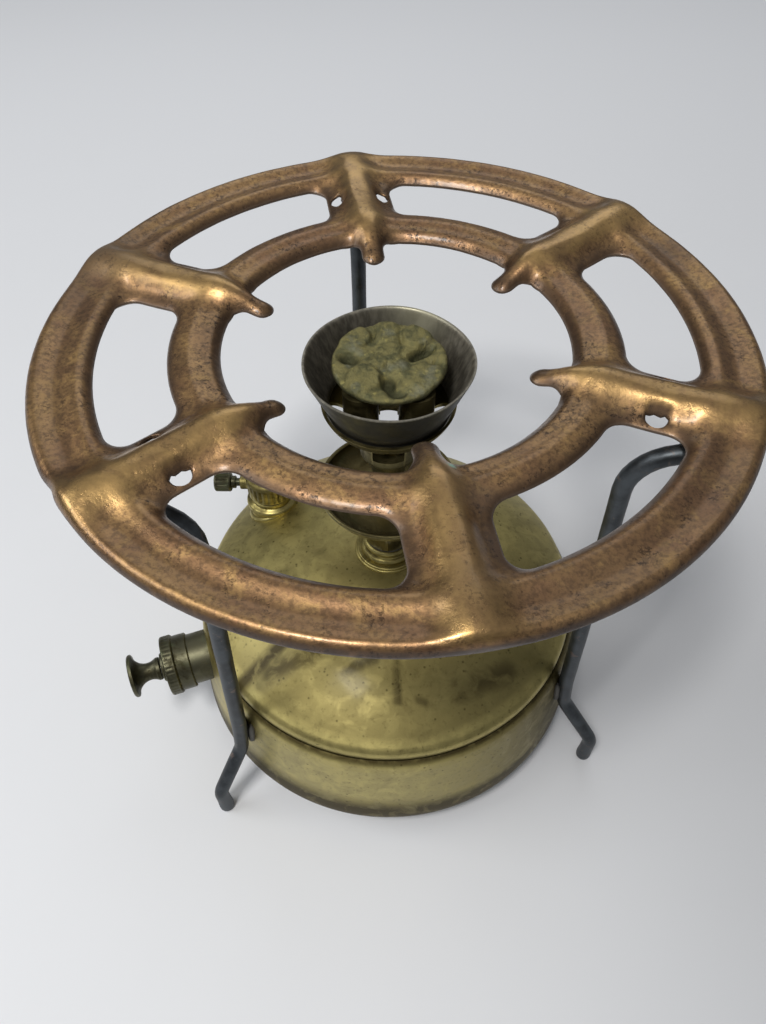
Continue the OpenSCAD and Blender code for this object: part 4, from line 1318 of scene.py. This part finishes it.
# Darkened places: plan place, half width and depth. Most are scorch marks from heat and smoke; the two broad ones at
# (48, -92) and (84, -60) are painted shade over the ring's front right.
BURNS_AND_SHADE = (
    (-107.0, 38.0, 24.0, 0.95),
    (-98.0, 62.0, 12.0, 0.6),
    (92.0, 44.0, 9.0, 0.6),
    (20.0, -66.0, 8.0, 0.7),
    (48.0, -92.0, 26.0, 0.4),
    (84.0, -60.0, 26.0, 0.3),
    (-88.0, -8.0, 12.0, 0.3),
    (23.0, -78.0, 9.0, 0.75),
    (20.0, -92.0, 9.0, 0.6),
    (61.0, -32.0, 10.0, 0.35),
    (47.0, 63.0, 12.0, 0.4),
)


def burnt_and_shaded(x, y, z):
    """Where heat and smoke have darkened the ring."""
    total = np.zeros(len(x))
    for px, py, size, deep in BURNS_AND_SHADE:
        total = np.maximum(total, deep * bell(np.hypot(x - px, y - py), size))
    # Painted shade on the low wall under the rolled rim, and on the pressed-down flaps beside the ear holes.
    low = unit((203.0 - z) / 1.4) * unit((np.hypot(x, y) - 107.6) / 1.5)
    return unit(total + 0.9 * low + 0.6 * ear_flap(x, y, 0.6, 0.25, 1.5))


# ---------------------------------------------------------------- studio


def build_stage():
    """A pale floor, a soft sky and three large lamps, and the camera where the photograph was taken from."""
    scene = bpy.context.scene
    colours = scene.stove_colours
    half = 4000
    corners = [(-half, -half, 0), (half, -half, 0), (half, half, 0), (-half, half, 0)]
    floor = new_mesh("studio_floor", corners, [(0, 1, 2, 3)])
    f = Finish("matte studio floor")
    base = f.blend(f.noise(60.0, 3.0), tint(colours.floor, 0.985), tint(colours.floor, 1.015))
    base = f.blend(f.span(f.axis("Y"), 0.15, 0.8), base, tint(colours.floor, 1.14))
    # Painted shadow of the stove: the floor is darker to its right.
    painted_shadow = f.times(f.span(f.axis("X"), -0.02, 0.22), f.span(f.axis("Y"), 0.25, -0.02))
    base = f.blend(painted_shadow, base, tint(colours.floor, 0.72))
    floor.data.materials.append(f.done(base, 0.6, 0.0))
    world = bpy.data.worlds.new("studio sky")
    scene.world = world
    world.use_nodes = True
    tree = world.node_tree
    tree.nodes.clear()
    out = tree.nodes.new("ShaderNodeOutputWorld")
    sky = tree.nodes.new("ShaderNodeBackground")
    coord = tree.nodes.new("ShaderNodeTexCoord")
    split = tree.nodes.new("ShaderNodeSeparateXYZ")
    ramp = tree.nodes.new("ShaderNodeValToRGB")
    tree.links.new(coord.outputs["Generated"], split.inputs["Vector"])
    tree.links.new(split.outputs["Z"], ramp.inputs["Fac"])
    tree.links.new(ramp.outputs["Color"], sky.inputs["Color"])
    tree.links.new(sky.outputs["Background"], out.inputs["Surface"])
    low, high = ramp.color_ramp.elements
    low.position, low.color = 0.0, (0.16, 0.16, 0.165, 1)
    high.position, high.color = 1.0, (0.75, 0.76, 0.78, 1)
    ramp.color_ramp.elements.new(0.45).color = (0.34, 0.345, 0.36, 1)
    sky.inputs["Strength"].default_value = 0.62
    lamp("key_lamp", (-0.30, -0.48, 1.25), 0.24, 0.24, 9.5, (1.0, 0.985, 0.96))
    lamp("side_lamp", (-1.15, -0.1, 1.0), 0.8, 0.6, 6.2, (0.97, 0.99, 1.0))
    lamp("back_lamp", (0.1, 1.3, 1.2), 1.3, 0.7, 3.0, (0.95, 0.98, 1.0))
    camera()


def lamp(name, where, width, depth, power, tone):
    """A rectangular soft lamp that faces the stove."""
    data = bpy.data.lights.new(name, "AREA")
    data.shape, data.size, data.size_y = "RECTANGLE", width, depth
    data.energy, data.color = power, tone
    made = bpy.data.objects.new(name, data)
    bpy.context.collection.objects.link(made)
    made.location = where
    made.rotation_euler = (Vector((0, 0, 0.12)) - Vector(where)).to_track_quat("-Z", "Y").to_euler()


# Solved from the photograph: pitch, yaw and roll in radians, place in millimetres, focal length in pixels
CAMERA_TURN = (0.900114514, -0.0128218, -0.0030811)
CAMERA_AT = (0.36, -189.493, 352.78)
FOCAL_PIXELS, PHOTO_HEIGHT, SENSOR_MM = 769.4, 1024.0, 36.0


def camera():
    """The camera, at the height and angle that the photograph shows."""
    pitch, yaw, roll = CAMERA_TURN
    ahead = Vector((math.sin(yaw) * math.cos(pitch), math.cos(yaw) * math.cos(pitch), -math.sin(pitch)))
    level = Vector((math.cos(yaw), -math.sin(yaw), 0.0))
    above = level.cross(ahead)
    right = level * math.cos(roll) + above * math.sin(roll)
    up = above * math.cos(roll) - level * math.sin(roll)
    data = bpy.data.cameras.new("photograph_camera")
    data.lens = FOCAL_PIXELS * SENSOR_MM / PHOTO_HEIGHT
    data.clip_start, data.clip_end = 0.01, 50.0
    view = bpy.data.objects.new("photograph_camera", data)
    bpy.context.collection.objects.link(view)
    pose = Matrix((right, up, -ahead)).transposed().to_4x4()
    pose.translation = Vector(CAMERA_AT) * MM
    view.matrix_world = pose
    bpy.context.scene.camera = view
    bpy.context.scene.view_settings.view_transform = "Standard"


# ---------------------------------------------------------------- add-on


def maker(idname, label, text, build):
    """An operator that builds one group of pieces."""

    def execute(self, context):
        build()
        return {"FINISHED"}

    return type(
        "STOVE_OT_" + idname,
        (bpy.types.Operator,),
        {"bl_idname": "stove." + idname, "bl_label": label, "__doc__": text, "execute": execute},
    )


STEPS = (
    ("finishes", "Finishes", "Make the worn metal finishes", make_finishes),
    ("tank", "Tank", "Build the dented dome and wall of the tank", build_tank),
    ("sockets", "Sockets", "Build the burner's and the filler's sockets on the dome", build_sockets),
    ("legs", "Legs", "Build the three bent rods that carry the ring", build_legs),
    ("burner", "Burner", "Build the burner's stem, spirit cup and bowl", build_burner),
    ("head", "Burner head", "Build the cast crown of the burner", build_head),
    ("flame_ring", "Flame ring", "Build the loose cone round the crown", build_flame_ring),
    ("filler", "Filler cap", "Build the filler cap and its air screw", build_filler),
    ("pump", "Pump", "Build the pump's cap and knob", build_pump),
    ("pot_ring", "Pot ring", "Build the pressed pot ring", build_pot_ring),
    ("stage", "Stage", "Build the floor, the light and the camera", build_stage),
)
MAKERS = [maker(*step) for step in STEPS]


class STOVE_PT_panel(bpy.types.Panel):
    """Lists the stove's sizes, colours and pieces."""

    bl_idname = "STOVE_PT_panel"
    bl_label = "Pressure stove"
    bl_space_type = "VIEW_3D"
    bl_region_type = "UI"
    bl_category = "Stove"

    def draw(self, context):
        layout = self.layout
        for group in (context.scene.stove_sizes, context.scene.stove_colours):
            for name in group.__annotations__:
                layout.prop(group, name)
        for made in MAKERS:
            layout.operator(made.bl_idname)


CLASSES = [StoveSizes, StoveColours, *MAKERS, STOVE_PT_panel]


def register():
    """Registers the add-on's classes and its groups of values."""
    for made in CLASSES:
        bpy.utils.register_class(made)
    bpy.types.Scene.stove_sizes = PointerProperty(type=StoveSizes)
    bpy.types.Scene.stove_colours = PointerProperty(type=StoveColours)


def unregister():
    """Takes them away again."""
    del bpy.types.Scene.stove_colours
    del bpy.types.Scene.stove_sizes
    for made in reversed(CLASSES):
        bpy.utils.unregister_class(made)


def main():
    """Builds every piece in order and writes the two boxes that the builder compares."""
    register()
    for made in MAKERS:
        group, name = made.bl_idname.split(".")
        getattr(getattr(bpy.ops, group), name)()


if __name__ == "__main__":
    main()
